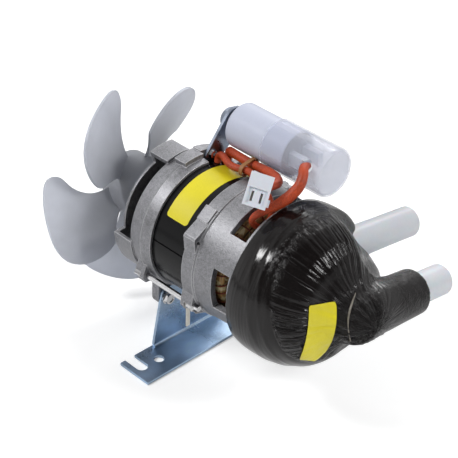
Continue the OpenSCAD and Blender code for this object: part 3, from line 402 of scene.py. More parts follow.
def object_point(tree):
    """The point of the piece, whole and as its three coordinates."""
    whole, parts = tree.nodes.new("ShaderNodeTexCoord"), tree.nodes.new("ShaderNodeSeparateXYZ")
    tree.links.new(whole.outputs["Object"], parts.inputs[0])
    return whole.outputs["Object"], parts


def off_axis(tree, parts):
    """How high a point lies above the drive axis, and how far from it."""
    up, out = maths(tree, "SUBTRACT", parts.outputs["Z"], AXIS_H), parts.outputs["Y"]
    squares = maths(tree, "ADD", maths(tree, "MULTIPLY", up, up), maths(tree, "MULTIPLY", out, out))
    return up, maths(tree, "SQRT", squares)


def around_axis(tree, ring, x, ring_scale, x_scale):
    """Noise coordinates that follow the head: a direction round the axis, and the place along it."""
    push = tree.nodes.new("ShaderNodeCombineXYZ")
    tree.links.new(maths(tree, "MULTIPLY", x, x_scale), push.inputs["X"])
    return vector_maths(tree, "MULTIPLY_ADD", ring, (ring_scale, ring_scale, ring_scale), push.outputs[0])


def grain_group():
    """Fine and coarse variation of a surface, read from a point on it."""
    group = bpy.data.node_groups.get("surface_grain")
    if group:
        return group
    group = bpy.data.node_groups.new("surface_grain", "ShaderNodeTree")
    group.interface.new_socket(name="Point", in_out="INPUT", socket_type="NodeSocketVector")
    for name, value in (("Fine", 900.0), ("Coarse", 60.0), ("Low", 0.8), ("High", 1.2),
                        ("Rough low", 0.3), ("Rough high", 0.5)):
        socket = group.interface.new_socket(name=name, in_out="INPUT", socket_type="NodeSocketFloat")
        socket.default_value = value
    for name in ("Shade", "Roughness", "Height"):
        group.interface.new_socket(name=name, in_out="OUTPUT", socket_type="NodeSocketFloat")
    nodes, link = group.nodes, group.links
    entry, result = nodes.new("NodeGroupInput"), nodes.new("NodeGroupOutput")
    fine, coarse = nodes.new("ShaderNodeTexNoise"), nodes.new("ShaderNodeTexNoise")
    fine.inputs["Detail"].default_value = 4
    coarse.inputs["Detail"].default_value = 6
    coarse.inputs["Roughness"].default_value = 0.65
    for texture, scale in ((fine, "Fine"), (coarse, "Coarse")):
        link.new(entry.outputs["Point"], texture.inputs["Vector"])
        link.new(entry.outputs[scale], texture.inputs["Scale"])
    both = maths(group, "MULTIPLY", maths(group, "ADD", fine.outputs["Fac"], coarse.outputs["Fac"]), 0.5)
    for name, value, low, high in (("Shade", both, "Low", "High"),
                                   ("Roughness", coarse.outputs["Fac"], "Rough low", "Rough high")):
        n = nodes.new("ShaderNodeMapRange")
        n.inputs["From Min"].default_value = 0.33
        n.inputs["From Max"].default_value = 0.67
        link.new(value, n.inputs["Value"])
        link.new(entry.outputs[low], n.inputs["To Min"])
        link.new(entry.outputs[high], n.inputs["To Max"])
        link.new(n.outputs[0], result.inputs[name])
    link.new(fine.outputs["Fac"], result.inputs["Height"])
    return group


def grain(tree, point, fine, coarse, shade, rough):
    """The grain group with a material's own values."""
    n = tree.nodes.new("ShaderNodeGroup")
    n.node_tree = grain_group()
    tree.links.new(point, n.inputs["Point"])
    n.inputs["Fine"].default_value = fine
    n.inputs["Coarse"].default_value = coarse
    n.inputs["Low"].default_value, n.inputs["High"].default_value = shade
    n.inputs["Rough low"].default_value, n.inputs["Rough high"].default_value = rough
    return n


# Finishes

def finish(name, colour, metallic=0.0, rough=(0.35, 0.5), shade=(0.85, 1.15), fine=900.0, coarse=60.0,
           bump=0.05, stretch=(1, 1, 1), depth=0.0002, **sockets):
    """One finish: a base colour, its variation, its roughness and its fine relief."""
    material, tree, bsdf = new_material(name)
    place, turn = tree.nodes.new("ShaderNodeTexCoord"), tree.nodes.new("ShaderNodeMapping")
    turn.inputs["Scale"].default_value = stretch
    tree.links.new(place.outputs["Object"], turn.inputs["Vector"])
    g = grain(tree, turn.outputs[0], fine, coarse, shade, rough)
    tree.links.new(scaled(tree, colour, g.outputs["Shade"]), bsdf.inputs["Base Color"])
    tree.links.new(g.outputs["Roughness"], bsdf.inputs["Roughness"])
    relief(tree, g.outputs["Height"], bump, depth)
    bsdf.inputs["Metallic"].default_value = metallic
    for key, value in sockets.items():
        bsdf.inputs[key.replace("_", " ")].default_value = value
    return material


def cast_material(name, colour):
    """Die-cast metal: mottled skin; rounded edges painted lighter, a painted highlight together with rubbed
    wear.
    """
    material = finish(name, colour, metallic=0.8, rough=(0.34, 0.58), shade=(0.55, 1.45), fine=1500,
                      coarse=420, bump=0.5, depth=0.00035)
    tree, bsdf = material.node_tree, material.node_tree.nodes["Principled BSDF"]
    rounded, face = tree.nodes.new("ShaderNodeBevel"), tree.nodes.new("ShaderNodeNewGeometry")
    rounded.samples = 4
    rounded.inputs["Radius"].default_value = 0.0008
    skin = bsdf.inputs["Normal"].links[0].from_node
    tree.links.new(rounded.outputs[0], skin.inputs["Normal"])
    turn = vector_maths(tree, "DOT_PRODUCT", rounded.outputs[0], face.outputs["Normal"])
    # The lighter colour on the rounded edges is a painted highlight together with rubbed wear.
    worn_and_highlit = between(tree, turn, 0.995, 0.93)
    mottled = bsdf.inputs["Base Color"].links[0].from_socket
    tree.links.new(blend(tree, worn_and_highlit, mottled, (0.62, 0.62, 0.64, 1)), bsdf.inputs["Base Color"])
    return material


def fan_material(name, colour):
    """Milky plastic with painted light: the blades are painted lighter towards their thin tips, standing for
    the light that shines through them, and darker at the hub.
    """
    material = finish(name, colour, rough=(0.34, 0.44), shade=(0.88, 1.06), fine=60, coarse=18, bump=0.01,
                      Transmission_Weight=0.45, IOR=1.3)
    tree, bsdf = material.node_tree, material.node_tree.nodes["Principled BSDF"]
    far = off_axis(tree, object_point(tree)[1])[1]
    milky = bsdf.inputs["Base Color"].links[0].from_socket
    # Painted light: the colour rises from dark at the hub to light at the tips, for the light that the thin
    # tips let through.
    painted_through_light = between(tree, far, 0.016, 0.074, 0.68, 1.20)
    tree.links.new(scaled(tree, milky, painted_through_light), bsdf.inputs["Base Color"])
    return material


def winding_material(name):
    """Varnished wire: tan strands run round the front end; the rear end is painted black, painted shade
    inside the rear shield.
    """
    material, tree, bsdf = new_material(name)
    nodes, links = tree.nodes, tree.links
    point, parts = object_point(tree)
    up, far = off_axis(tree, parts)
    round_head = nodes.new("ShaderNodeCombineXYZ")
    links.new(maths(tree, "MULTIPLY", parts.outputs["X"], 950), round_head.inputs["X"])
    links.new(maths(tree, "MULTIPLY", far, 950), round_head.inputs["Y"])
    turn = maths(tree, "ARCTAN2", up, parts.outputs["Y"])
    links.new(maths(tree, "MULTIPLY", turn, 2.2), round_head.inputs["Z"])
    strands = cloud(tree, round_head.outputs[0], 1.0, 2, 0.4)
    wires = nodes.new("ShaderNodeValToRGB")
    wires.color_ramp.elements[0].position, wires.color_ramp.elements[1].position = 0.36, 0.62
    wires.color_ramp.elements[0].color = (0.045, 0.018, 0.008, 1)
    wires.color_ramp.elements[1].color = (0.46, 0.27, 0.10, 1)
    links.new(strands, wires.inputs["Fac"])
    patch = between(tree, cloud(tree, point, 130, 3, 0.6), 0.52, 0.60)
    cream = blend(tree, patch, wires.outputs["Color"], (0.55, 0.46, 0.26, 1))
    # Painted shade: behind the front end the windings turn near black, standing for the shade inside the rear
    # shield.
    front = between(tree, parts.outputs["X"], 0.012, 0.018)
    links.new(blend(tree, front, (0.003, 0.0025, 0.0025, 1), cream), bsdf.inputs["Base Color"])
    links.new(between(tree, strands, 0.3, 0.7, 0.45, 0.25), bsdf.inputs["Roughness"])
    relief(tree, strands, 0.8, 0.0006)
    bsdf.inputs["Specular IOR Level"].default_value = 0.35
    return material


def film_material(name, colour):
    """Glossy film drawn over foam: a smooth tape band behind, pleats over the dome, crinkles on the elbow."""
    material, tree, bsdf = new_material(name)
    point, parts = object_point(tree)
    x, out = parts.outputs["X"], parts.outputs["Y"]
    flat = tree.nodes.new("ShaderNodeCombineXYZ")
    tree.links.new(out, flat.inputs["Y"])
    tree.links.new(maths(tree, "SUBTRACT", parts.outputs["Z"], AXIS_H), flat.inputs["Z"])
    unit = vector_maths(tree, "NORMALIZE", flat.outputs[0])
    ring = tree.nodes.new("ShaderNodeSeparateXYZ")
    tree.links.new(unit, ring.inputs[0])
    ring_out, ring_up = ring.outputs["Y"], ring.outputs["Z"]

    lean_out = maths(tree, "MULTIPLY", ring_out, BAND_LEAN_OUT)
    lean = maths(tree, "MULTIPLY_ADD", ring_up, BAND_LEAN_UP, lean_out)
    past = maths(tree, "SUBTRACT", maths(tree, "ADD", x, lean), BAND_END)
    dome = between(tree, past, -0.0005, 0.002)
    sleeve = between(tree, out, 0.018, 0.032)
    body = maths(tree, "MULTIPLY", dome, maths(tree, "SUBTRACT", 1.0, sleeve))

    slack = between(tree, cloud(tree, point, 38, 1), 0.42, 0.62, 0.15, 1.0)
    low_left = maths(tree, "MULTIPLY", between(tree, ring_out, -0.1, -0.6), between(tree, ring_up, 0.45, 0.1))
    slack = maths(tree, "MAXIMUM", slack, maths(tree, "MULTIPLY", low_left, 1.5))
    groove = creases(tree, cloud(tree, around_axis(tree, unit, x, 1.0, 1.2), 12, 1, 0.35))
    groove = maths(tree, "MINIMUM", maths(tree, "MULTIPLY", groove, 9.0), 1.0)
    fine = creases(tree, cloud(tree, around_axis(tree, unit, x, 1.0, 3.5), 46, 3, 0.5))
    pleats = maths(tree, "MULTIPLY_ADD", fine, 0.45, maths(tree, "MULTIPLY", groove, 0.8))
    pleats = maths(tree, "MULTIPLY", maths(tree, "MULTIPLY", pleats, slack), body)

    crinkle = creases(tree, cloud(tree, point, 260, 4, 1.2))
    near_edge = maths(tree, "MULTIPLY", between(tree, past, 0.012, 0.002), between(tree, ring_up, 0.3, 0.7))
    near_edge = maths(tree, "MULTIPLY", near_edge, between(tree, past, -0.007, -0.001))
    on_sleeve, at_edge = maths(tree, "MULTIPLY", sleeve, 0.75), maths(tree, "MULTIPLY", near_edge, 0.6)
    amount = maths(tree, "ADD", on_sleeve, at_edge)
    crinkles = maths(tree, "MULTIPLY", crinkle, maths(tree, "ADD", amount, 0.05))
    band = cloud(tree, around_axis(tree, unit, x, 0.004, 1.0), 420, 1, 0.0)
    behind = maths(tree, "MULTIPLY", maths(tree, "SUBTRACT", 1.0, dome), 0.22)
    band = maths(tree, "MULTIPLY", band, behind)
    relief(tree, maths(tree, "ADD", maths(tree, "ADD", pleats, crinkles), band), 0.9, 0.0014)

    # Painted sheen: a ragged light grey patch near the outlet stands for the film's glossy reflection at a
    # grazing angle.
    ragged = maths(tree, "MULTIPLY_ADD", crinkle, 0.012, vector_maths(tree, "DISTANCE", point, PAINTED_SHEEN_PLACE))
    painted_sheen = between(tree, ragged, 0.0125, 0.0108)
    black = scaled(tree, colour, between(tree, crinkle, 0.0, 0.3, 0.75, 1.5, "LINEAR"))
    tree.links.new(blend(tree, painted_sheen, black, (0.24, 0.24, 0.26, 1)), bsdf.inputs["Base Color"])
    tree.links.new(between(tree, crinkle, 0.0, 0.3, 0.13, 0.26, "LINEAR"), bsdf.inputs["Roughness"])
    matt = maths(tree, "MAXIMUM", sleeve, between(tree, ring_up, 0.55, 0.9, 0.0, 0.8))
    tree.links.new(between(tree, matt, 0.0, 1.0, 0.38, 0.2, "LINEAR"), bsdf.inputs["Specular IOR Level"])
    return material


def weave_material(name, colour, turns, length, girth):
    """Braided sleeving: two sets of strands cross at an angle along the lead."""
    material, tree, bsdf = new_material(name)
    place = tree.nodes.new("ShaderNodeTexCoord")
    waves = []
    for side in (1, -1):
        turn, wave = tree.nodes.new("ShaderNodeMapping"), tree.nodes.new("ShaderNodeTexWave")
        turn.inputs["Scale"].default_value = (length / girth * turns, side * turns, 1)
        tree.links.new(place.outputs["UV"], turn.inputs["Vector"])
        wave.bands_direction = "DIAGONAL"
        wave.inputs["Scale"].default_value = 1.0
        wave.inputs["Distortion"].default_value = 0.6
        wave.inputs["Detail"].default_value = 2
        tree.links.new(turn.outputs[0], wave.inputs["Vector"])
        waves.append(wave.outputs["Fac"])
    strands = maths(tree, "MAXIMUM", *waves)
    g = grain(tree, place.outputs["Object"], 1500, 120, (0.5, 1.4), (0.45, 0.65))
    woven = between(tree, strands, 0.0, 1.0, 0.88, 1.05, "LINEAR")
    shade = maths(tree, "MULTIPLY", woven, g.outputs["Shade"])
    tree.links.new(scaled(tree, colour, shade), bsdf.inputs["Base Color"])
    tree.links.new(g.outputs["Roughness"], bsdf.inputs["Roughness"])
    relief(tree, strands, 0.25, 0.0002)
    return material


def dress(o, material):
    o.data.materials.clear()
    o.data.materials.append(material)


# Stage

def set_camera(scene):
    data = bpy.data.cameras.new("camera")
    data.sensor_width = SENSOR_WIDTH
    data.lens = SENSOR_WIDTH * CAMERA_FOCAL / PICTURE_SIDE
    data.clip_start = 0.05
    camera = bpy.data.objects.new("camera", data)
    scene.collection.objects.link(camera)
    turn = Matrix((Vector(CAMERA_RIGHT), -Vector(CAMERA_DOWN), -Vector(CAMERA_AHEAD))).transposed()
    camera.matrix_world = Matrix.Translation(CAMERA_PLACE) @ turn.to_4x4()
    scene.camera = camera


def hang_lamps(scene):
    for name, place, aim, size, power in LAMPS:
        lamp = bpy.data.lights.new(name, "AREA")
        lamp.size = size
        lamp.energy = power
        o = bpy.data.objects.new(name, lamp)
        scene.collection.objects.link(o)
        o.location = place
        o.rotation_euler = (Vector(aim) - Vector(place)).to_track_quat("-Z", "Y").to_euler()


def fill_world(scene):
    """White behind the pump; what it mirrors darkens towards the side that the camera stands on."""
    world = bpy.data.worlds.new("studio")
    scene.world = world
    world.use_nodes = True
    tree = world.node_tree
    nodes, links = tree.nodes, tree.links
    nodes.clear()
    path, place = nodes.new("ShaderNodeLightPath"), nodes.new("ShaderNodeTexCoord")
    soft, white = nodes.new("ShaderNodeBackground"), nodes.new("ShaderNodeBackground")
    mix, out = nodes.new("ShaderNodeMixShader"), nodes.new("ShaderNodeOutputWorld")
    for light in (soft, white):
        light.inputs["Color"].default_value = (1, 1, 1, 1)
    soft.inputs["Strength"].default_value = SOFT_LIGHT
    to_camera = path.outputs["Is Camera Ray"]
    seen = maths(tree, "MAXIMUM", to_camera, path.outputs["Is Glossy Ray"])
    seen = maths(tree, "MAXIMUM", seen, path.outputs["Is Transmission Ray"])
    front = vector_maths(tree, "DOT_PRODUCT", place.outputs["Generated"], tuple(-c for c in CAMERA_AHEAD))
    dark = between(tree, front, 0.0, 0.75, 0.0, DARK_FRONT)
    dark = maths(tree, "MULTIPLY", maths(tree, "SUBTRACT", 1.0, to_camera), dark)
    links.new(maths(tree, "SUBTRACT", 1.0, dark), white.inputs["Strength"])
    links.new(seen, mix.inputs[0])
    links.new(soft.outputs[0], mix.inputs[1])
    links.new(white.outputs[0], mix.inputs[2])
    links.new(mix.outputs[0], out.inputs[0])


def lay_floor():
    """A pale floor that keeps the shadow and fades to white far from the pump."""
    deselect()
    bpy.ops.mesh.primitive_plane_add(size=6, location=(0, 0, -0.0004))
    floor = bpy.context.object
    floor.name = "floor"
    material, tree, bsdf = new_material("floor_white")
    bsdf.inputs["Base Color"].default_value = (0.9, 0.9, 0.9, 1)
    bsdf.inputs["Roughness"].default_value = 0.9
    bsdf.inputs["Specular IOR Level"].default_value = 0.0
    bsdf.inputs["Emission Color"].default_value = (1, 1, 1, 1)
    place, path = tree.nodes.new("ShaderNodeTexCoord"), tree.nodes.new("ShaderNodeLightPath")
    glow = between(tree, vector_maths(tree, "LENGTH", place.outputs["Object"]), 0.35, 1.1, 0.36, 0.80)
    glow = maths(tree, "MULTIPLY", path.outputs["Is Camera Ray"], glow)
    tree.links.new(glow, bsdf.inputs["Emission Strength"])
    dress(floor, material)


class PUMP_OT_stage(bpy.types.Operator):
    """Sets the camera, the lamps and the floor"""
    bl_idname = "pump.stage"
    bl_label = "Stage"

    def execute(self, context):
        scene = context.scene
        scene.view_settings.view_transform = "Standard"
        set_camera(scene)
        hang_lamps(scene)
        fill_world(scene)
        lay_floor()
        return {"FINISHED"}


# Pieces

class PUMP_OT_leads(bpy.types.Operator):
    """Lays the three sleeved leads"""
    bl_idname = "pump.leads"
    bl_label = "Leads"

    def execute(self, context):
        sizes, colours = context.scene.pump_sizes, context.scene.pump_colours
        for name, route, girth, girths in (
                ("capacitor_sleeving", CAPACITOR_ROUTE, sizes.capacitor_lead, CAPACITOR_GIRTH),
                ("bridge_sleeving", BRIDGE_ROUTE, sizes.bridge_lead, None),
                ("supply_sleeving", SUPPLY_ROUTE, sizes.supply_lead, None)):
            points = metres(route)
            o = tube_along(points, girth, name, girths)
            dress(o, weave_material(name, tuple(colours.sleeving), 5, run(points), math.pi * girth))
            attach(o, "frame")
            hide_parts(name.replace("sleeving", "lead"))
        return {"FINISHED"}


class PUMP_OT_lacing(bpy.types.Operator):
    """Winds the lacing cord round the front end of the windings"""
    bl_idname = "pump.lacing"
    bl_label = "Lacing"

    def execute(self, context):
        x0, length, r_in, r_out, corner = WINDING_HEAD
        turns, steps = 34, 10
        clear, uneven, squareness = 0.0005, 0.003, 1.6
        half_length, half_depth = length / 2 - corner, (r_out - r_in) / 2 - corner
        points = []
        for i in range(turns * steps):
            along = 2 * math.pi * (i / (turns * steps) + uneven * math.sin(i * 0.37))
            loop = 2 * math.pi * i / steps
            flat_x = half_length * max(-1, min(1, math.cos(loop) * squareness))
            flat_r = half_depth * max(-1, min(1, math.sin(loop) * squareness))
            x = x0 + length / 2 + flat_x + (corner + clear) * math.cos(loop)
            r = (r_in + r_out) / 2 + flat_r + (corner + clear) * math.sin(loop)
            points.append(Vector((x, r * math.cos(along), AXIS_H + r * math.sin(along))))
        o = tube_along(points, context.scene.pump_sizes.lacing_cord, "winding_lacing")
        dress(o, finish("lacing_cord", (0.20, 0.045, 0.018), rough=(0.5, 0.7), shade=(0.6, 1.4), fine=1800,
                        coarse=300, bump=0.2))
        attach(o, "frame")
        return {"FINISHED"}


def draw_in(o, depth):
    """Draws the film in on the front of the outlet spigot, ahead of the tape band."""
    middle, reach = 37, 36
    behind_front, before_front = (0.0365, 0.0095), (0.018, 0.020)
    for v in o.data.vertices:
        p = v.co
        ring = Vector((0, p.y, p.z - AXIS_H))
        turn = math.degrees(math.atan2(ring.z, ring.y)) - middle
        if abs(turn) > reach:
            continue
        core, foam = behind_front if p.x < CASING_FRONT else before_front
        weight = math.cos(math.radians(turn / reach * 90)) ** 1.2
        weight *= ramp(p.x, 0.0860, 0.0940) * (1 - ramp(p.x, 0.117, 0.1225))
        weight *= ramp(ring.length, core, core + foam)
        v.co = p - ring.normalized() * (depth * weight)
    o.data.update()


def fold_height(p, ring, past):
    """How far the film stands up at a point, as a share of the fold's height."""
    dome = ramp(past, 0.0, 0.003) * (1 - ramp(p.y, 0.015, 0.03))
    gather = bell(past, 0.0008, 0.0016)
    rolls = bell(past, -0.0075, 0.0012) + 0.7 * bell(past, -0.0150, 0.0014)
    slack = 0.5 + 0.5 * noise.noise(p * 40 + Vector((1.7, 9.2, 0.6)))
    slack = max(slack, 1.3 * ramp(-ring.y, 0.2, 0.6) * ramp(-ring.z, -0.4, -0.1))
    pleat = noise.noise(ring * 8 + Vector((p.x * 14, 3.1, 7.7)))
    sharp = 1 - min(abs(noise.noise(ring * 15 + Vector((p.x * 22, 0.4, 2.6)))) * 5, 1)
    lump = noise.noise(p * 55 + Vector((4.4, 0.2, 8.1)))
    on_dome = dome * (0.7 * pleat - 0.9 * sharp * slack)
    return min(on_dome - 0.55 * gather + 0.35 * rolls * (p.y < 0.02) + 0.3 * lump, 0.45)


def crumple(o, fold):
    """Draws the film into pleats that run forward over the dome, and gathers the end of the tape band."""
    mesh = o.data
    mesh.update()
    along = Vector((0, math.cos(SLEEVE_DROP), -math.sin(SLEEVE_DROP)))
    root = Vector((INLET_X, 0, AXIS_H))
    sleeve_start, sleeve_r = 0.02, 0.0185
    normals = [v.normal.copy() for v in mesh.vertices]
    for v, normal in zip(mesh.vertices, normals):
        p = v.co
        ring = Vector((0, p.y, p.z - AXIS_H))
        if ring.length < SAME_POINT:
            continue
        ring.normalize()
        off = (p - root) - along * (p - root).dot(along)
        away = off if p.y > sleeve_start and off.length < sleeve_r else ring
        if normal.dot(away.normalized()) < 0.05 and normal.x < 0.5:
            continue
        v.co = p + normal * (fold * fold_height(p, ring, p.x - band_edge(ring)))
    mesh.update()


def film_core(voxel):
    """The jacket, the sleeve and the fillet between them as one skin."""
    fillet = lathe(ROOT_FILLET, 96)
    mend(fillet, merge=True, turn_out=True)
    body, sleeve = node_copy("insulation_jacket"), node_copy("inlet_sleeve")
    pick(body)
    sleeve.select_set(True)
    fillet.select_set(True)
    bpy.ops.object.join()
    o = bpy.context.object
    apply_modifier(o, "REMESH", "skin", mode="VOXEL", voxel_size=voxel)
    return o


def ease_film(o):
    """Fills the hollow where the elbow leaves the dome, and rounds the outside of the film."""
    outer, crotch = o.vertex_groups.new(name="outer"), o.vertex_groups.new(name="crotch")
    for v in o.data.vertices:
        ring = Vector((0, v.co.y, v.co.z - AXIS_H))
        if v.normal.dot(ring) > 0 or v.normal.x > 0.4 or v.co.y > 0.03:
            outer.add([v.index], 1.0, "REPLACE")
        near = ramp(v.co.x, 0.108, 0.116) * (1 - ramp(v.co.y, 0.030, 0.045))
        near *= ramp(ring.length, 0.0145, 0.0165)
        if near > 0:
            crotch.add([v.index], near, "REPLACE")
    apply_modifier(o, "SMOOTH", "fill", factor=0.5, iterations=90, vertex_group="crotch")
    apply_modifier(o, "SMOOTH", "ease", factor=0.5, iterations=4, vertex_group="outer")


def sew_seam(film, girth):
    """Lays the seam ridge on the film where the picture shows it; its lighter colour is a painted highlight
    along the fold.
    """
    lift = 0.0001
    points = [place + normal * lift for place, normal in (seen_on(film, u, v) for u, v in SEAM_IN_VIEW)]
    seam = tube_along(points, girth, "film_seam", SEAM_GIRTH)
    # The tan-grey colour is a painted highlight on the fold's edge.
    dress(seam, finish("film_seam", (0.20, 0.18, 0.15), rough=(0.2, 0.35), shade=(0.6, 1.3), fine=1500,
                       coarse=300, bump=0.2))
    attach(seam, "frame")


class PUMP_OT_jacket(bpy.types.Operator):
    """Wraps the pump head and the elbow in one black film"""
    bl_idname = "pump.jacket"
    bl_label = "Jacket"

    def execute(self, context):
        sizes, colours = context.scene.pump_sizes, context.scene.pump_colours
        o = film_core(sizes.film_voxel)
        ease_film(o)
        draw_in(o, sizes.outlet_dip)
        crumple(o, sizes.film_fold)
        o.vertex_groups.clear()
        o = settle(o, "jacket_film")
        smooth(o, 75)
        dress(o, film_material("film_jacket", tuple(colours.film)))
        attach(o, "frame")
        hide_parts("insulation_jacket", "inlet_sleeve")
        sew_seam(o, sizes.seam_ridge)
        return {"FINISHED"}


def round_corner(x, y, wide, tall, corner):
    """Moves a point of a square grid so that the sheet's corners are round."""
    for cx, cy, side_x, side_y in ((corner, corner, -1, -1), (wide - corner, corner, 1, -1),
                                   (corner, tall - corner, -1, 1), (wide - corner, tall - corner, 1, 1)):
        dx, dy = x - cx, y - cy
        if dx * side_x > 0 and dy * side_y > 0:
            k = max(abs(dx), abs(dy)) / math.hypot(dx, dy)
            x, y = cx + dx * k, cy + dy * k
    return x, y


def stick(o, paper, thickness, angle):
    """Gives a label's sheet its thickness, its paper and its body."""
    apply_modifier(o, "SOLIDIFY", "paper", thickness=thickness, offset=1)
    smooth(o, angle)
    dress(o, paper)
    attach(o, "frame")


def stator_label(paper, thickness):
    """Bends a sheet with round corners round the stator."""
    deselect()
    bpy.ops.mesh.primitive_grid_add(x_subdivisions=12, y_subdivisions=60, size=1)
    o = bpy.context.object
    start, end = math.radians(145), math.radians(52)
    x0, x1, r, corner = 0.0028, 0.0208, 0.0421, 0.0022
    wide, tall = x1 - x0, abs(end - start) * r
    for v in o.data.vertices:
        x, y = round_corner((v.co.x + 0.5) * wide, (v.co.y + 0.5) * tall, wide, tall, corner)
        turn = start + (end - start) * y / tall
        v.co = Vector((x0 + x, r * math.cos(turn), AXIS_H + r * math.sin(turn)))
    o = settle(o, "stator_label")
    mend(o, turn_out=True)
    face = o.data.polygons[0]
    if face.normal.dot(face.center - Vector((0.01, 0, AXIS_H))) < 0:
        o.data.flip_normals()
    stick(o, paper, thickness, 40)


def edge_in_view(edge, share):
    """A point of the picture on a curved edge, from its two ends and the point that it bends towards."""
    top, bend, low = (Vector(p) for p in edge)
    return top * (1 - share) ** 2 + bend * 2 * share * (1 - share) + low * share * share


def head_label(paper, thickness):
    """Lays a sheet on the film where the picture shows it."""
    deselect()
    bpy.ops.mesh.primitive_grid_add(x_subdivisions=28, y_subdivisions=56, size=1)
    o = bpy.context.object
    film = bpy.data.objects["jacket_film"]
    end_share, tuck_share = 0.05, 0.07
    for v in o.data.vertices:
        across, down = v.co.x + 0.5, v.co.y + 0.5
        if down < end_share or down > 1 - end_share:
            end = (end_share - min(down, 1 - down)) / end_share
            tuck = tuck_share * (1 - math.sqrt(max(1 - end * end, 0.0)))
            across = tuck + across * (1 - 2 * tuck)
        left, right = edge_in_view(LABEL_LEFT_IN_VIEW, down), edge_in_view(LABEL_RIGHT_IN_VIEW, down)
        spot = left * (1 - across) + right * across
        v.co = seen_on(film, spot.x, spot.y)[0]
    o = settle(o, "pump_label")
    apply_modifier(o, "SMOOTH", "flatten", factor=0.5, iterations=6)
    apply_modifier(o, "SHRINKWRAP", "lay_on", target=film, wrap_method="NEAREST_SURFACEPOINT",
                   wrap_mode="ABOVE_SURFACE", offset=0.0003)
    apply_modifier(o, "SMOOTH", "stiff", factor=0.5, iterations=2)
    if sum(face.normal.x for face in o.data.polygons) < 0:
        o.data.flip_normals()
    stick(o, paper, thickness, 60)


class PUMP_OT_labels(bpy.types.Operator):
    """Sticks the two bare labels on"""
    bl_idname = "pump.labels"
    bl_label = "Labels"

    def execute(self, context):
        sizes, colours = context.scene.pump_sizes, context.scene.pump_colours
        paper = finish("label_yellow", tuple(colours.label), rough=(0.3, 0.42), shade=(0.93, 1.05), fine=1500,
                       coarse=40, bump=0.02)
        stator_label(paper, sizes.label_thickness)
        head_label(paper, sizes.label_thickness)
        return {"FINISHED"}


def metals(colours):
    """The finishes of the metal pieces, each with the pieces that have it."""
    return [
        (cast_material("cast_shield", tuple(colours.casting)), ["rear_shield", "front_shield"]),
        # The foot's broad light and dark patches, a slow shade of 0.55 to 1.4, are painted shading that
        # stands for the gradient that the plated metal mirrors.
        (finish("zinc_foot", tuple(colours.zinc), metallic=1.0, rough=(0.22, 0.34), shade=(0.55, 1.4),
                fine=34, coarse=15, bump=0.01),
         ["mounting_bracket"]),
        (finish("zinc_bright", (0.76, 0.76, 0.77), metallic=1.0, rough=(0.08, 0.18), shade=(0.8, 1.1),
                fine=1200, coarse=120, bump=0.04),
         ["bracket_bolts", "bracket_washers", "tie_rods", "tie_rod_nuts", "arm_screw"]),
        (finish("dull_zinc", (0.24, 0.27, 0.33), metallic=1.0, rough=(0.24, 0.4), shade=(0.8, 1.15),
                fine=1200, coarse=120, bump=0.05),
         ["capacitor_arm", "capacitor_stud", "capacitor_nut"]),
        (finish("ground_steel", (0.55, 0.55, 0.56), metallic=1.0, rough=(0.22, 0.36), stretch=(6, 1, 1),
                fine=700, bump=0.05),
         ["tie_rod_washers", "rotor_shaft", "wave_washer", "fan_clip", "back_plate_screws", "casing_screws",
          "seal_spring", "capacitor_washer"]),
        (finish("bearing_steel", (0.7, 0.7, 0.72), metallic=1.0, rough=(0.1, 0.2), bump=0.01),
         ["rear_bearing_outer", "rear_bearing_inner", "rear_bearing_balls", "front_bearing_outer",
          "front_bearing_inner", "front_bearing_balls"]),
        (finish("rotor_metal", (0.5, 0.5, 0.52), metallic=1.0, rough=(0.3, 0.5), bump=0.1), ["rotor_core"]),
        (finish("turned_brass", (0.6, 0.42, 0.16), metallic=1.0, rough=(0.2, 0.35), bump=0.05),
         ["impeller_insert"]),
        (finish("tinned_brass", (0.60, 0.58, 0.53), metallic=1.0, rough=(0.25, 0.4), bump=0.05),
         ["earth_tab", "capacitor_terminals", "connector_contacts"]),
    ]


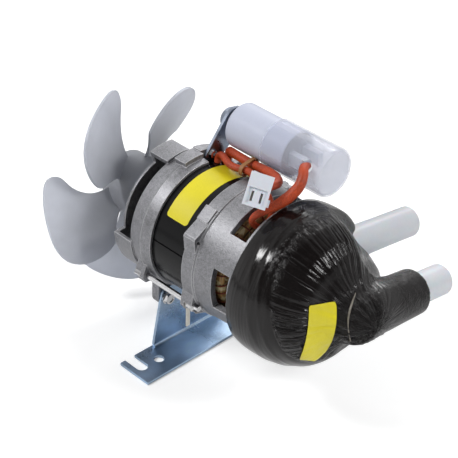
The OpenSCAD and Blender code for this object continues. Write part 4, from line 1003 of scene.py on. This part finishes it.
def coated_and_moulded(colours):
    """The finishes of all other pieces, each with the pieces that have it."""
    return [
        (finish("black_core", (0.004, 0.004, 0.0045), rough=(0.16, 0.26), shade=(0.8, 1.3), fine=2600,
                coarse=50, stretch=(1, 0.05, 0.05), bump=0.08, Specular_IOR_Level=0.17),
         ["stator_core"]),
        (winding_material("winding_wire"), ["windings"]),
        (fan_material("fan_plastic", tuple(colours.fan)), ["fan"]),
        (finish("milky_plastic", tuple(colours.spigot), rough=(0.28, 0.38), shade=(0.97, 1.03), fine=500,
                coarse=25, bump=0.02, Subsurface_Weight=0.35, Subsurface_Scale=0.004),
         ["pump_casing", "inlet_elbow", "pump_back_plate"]),
        (finish("impeller_plastic", (0.05, 0.05, 0.055), rough=(0.4, 0.55), bump=0.05), ["impeller"]),
        (finish("black_rubber", (0.012, 0.012, 0.012), rough=(0.5, 0.7), bump=0.1),
         ["chamber_gasket", "inlet_oring", "seal_cup", "seal_bellows"]),
        (finish("ceramic", (0.8, 0.78, 0.72), rough=(0.15, 0.25), bump=0.01), ["seal_seat"]),
        (finish("carbon_face", (0.03, 0.03, 0.032), rough=(0.2, 0.35), bump=0.02), ["seal_face"]),
        (finish("capacitor_shell", (0.54, 0.57, 0.69), rough=(0.26, 0.36), shade=(0.97, 1.03), fine=600,
                coarse=20, bump=0.015),
         ["capacitor_can"]),
        (finish("capacitor_end", (0.1, 0.1, 0.11), rough=(0.4, 0.5), bump=0.05), ["capacitor_disc"]),
        (finish("clear_cap", (0.74, 0.77, 0.88), rough=(0.14, 0.22), shade=(0.98, 1.02), fine=120,
                coarse=20, bump=0.01, Transmission_Weight=0.35, IOR=1.3, Alpha=0.42),
         ["capacitor_cap"]),
        (finish("white_nylon", (0.70, 0.73, 0.79), rough=(0.36, 0.46), shade=(0.97, 1.02), bump=0.02,
                Subsurface_Weight=0.15, Subsurface_Scale=0.002),
         ["terminal_boots", "connector_housing"]),
        (finish("tan_tie", (0.30, 0.13, 0.04), rough=(0.4, 0.55), bump=0.04), ["cable_tie"]),
    ]


class PUMP_OT_finishes(bpy.types.Operator):
    """Gives every carried-over piece its finish"""
    bl_idname = "pump.finishes"
    bl_label = "Finishes"

    def execute(self, context):
        colours = context.scene.pump_colours
        for material, names in metals(colours) + coated_and_moulded(colours):
            for name in names:
                dress(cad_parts[name], material)
        return {"FINISHED"}


class PUMP_PT_panel(bpy.types.Panel):
    """Lists the steps that dress the pump"""
    bl_idname = "PUMP_PT_panel"
    bl_label = "Circulation pump"
    bl_space_type = "VIEW_3D"
    bl_region_type = "UI"
    bl_category = "Pump"

    def draw(self, context):
        for step in STEPS:
            self.layout.operator("pump." + step)
        for group in (context.scene.pump_sizes, context.scene.pump_colours):
            for key in group.__annotations__:
                self.layout.prop(group, key)


STEPS = ("stage", "leads", "lacing", "jacket", "labels", "finishes")
CLASSES = (PumpSizes, PumpColours, PUMP_OT_stage, PUMP_OT_leads, PUMP_OT_lacing, PUMP_OT_jacket,
           PUMP_OT_labels, PUMP_OT_finishes, PUMP_PT_panel)


def register():
    for c in CLASSES:
        bpy.utils.register_class(c)
    bpy.types.Scene.pump_sizes = bpy.props.PointerProperty(type=PumpSizes)
    bpy.types.Scene.pump_colours = bpy.props.PointerProperty(type=PumpColours)


def unregister():
    del bpy.types.Scene.pump_sizes
    del bpy.types.Scene.pump_colours
    for c in reversed(CLASSES):
        bpy.utils.unregister_class(c)


def main():
    register()
    for step in STEPS:
        getattr(bpy.ops.pump, step)()
    deselect()


if __name__ == "__main__":
    main()
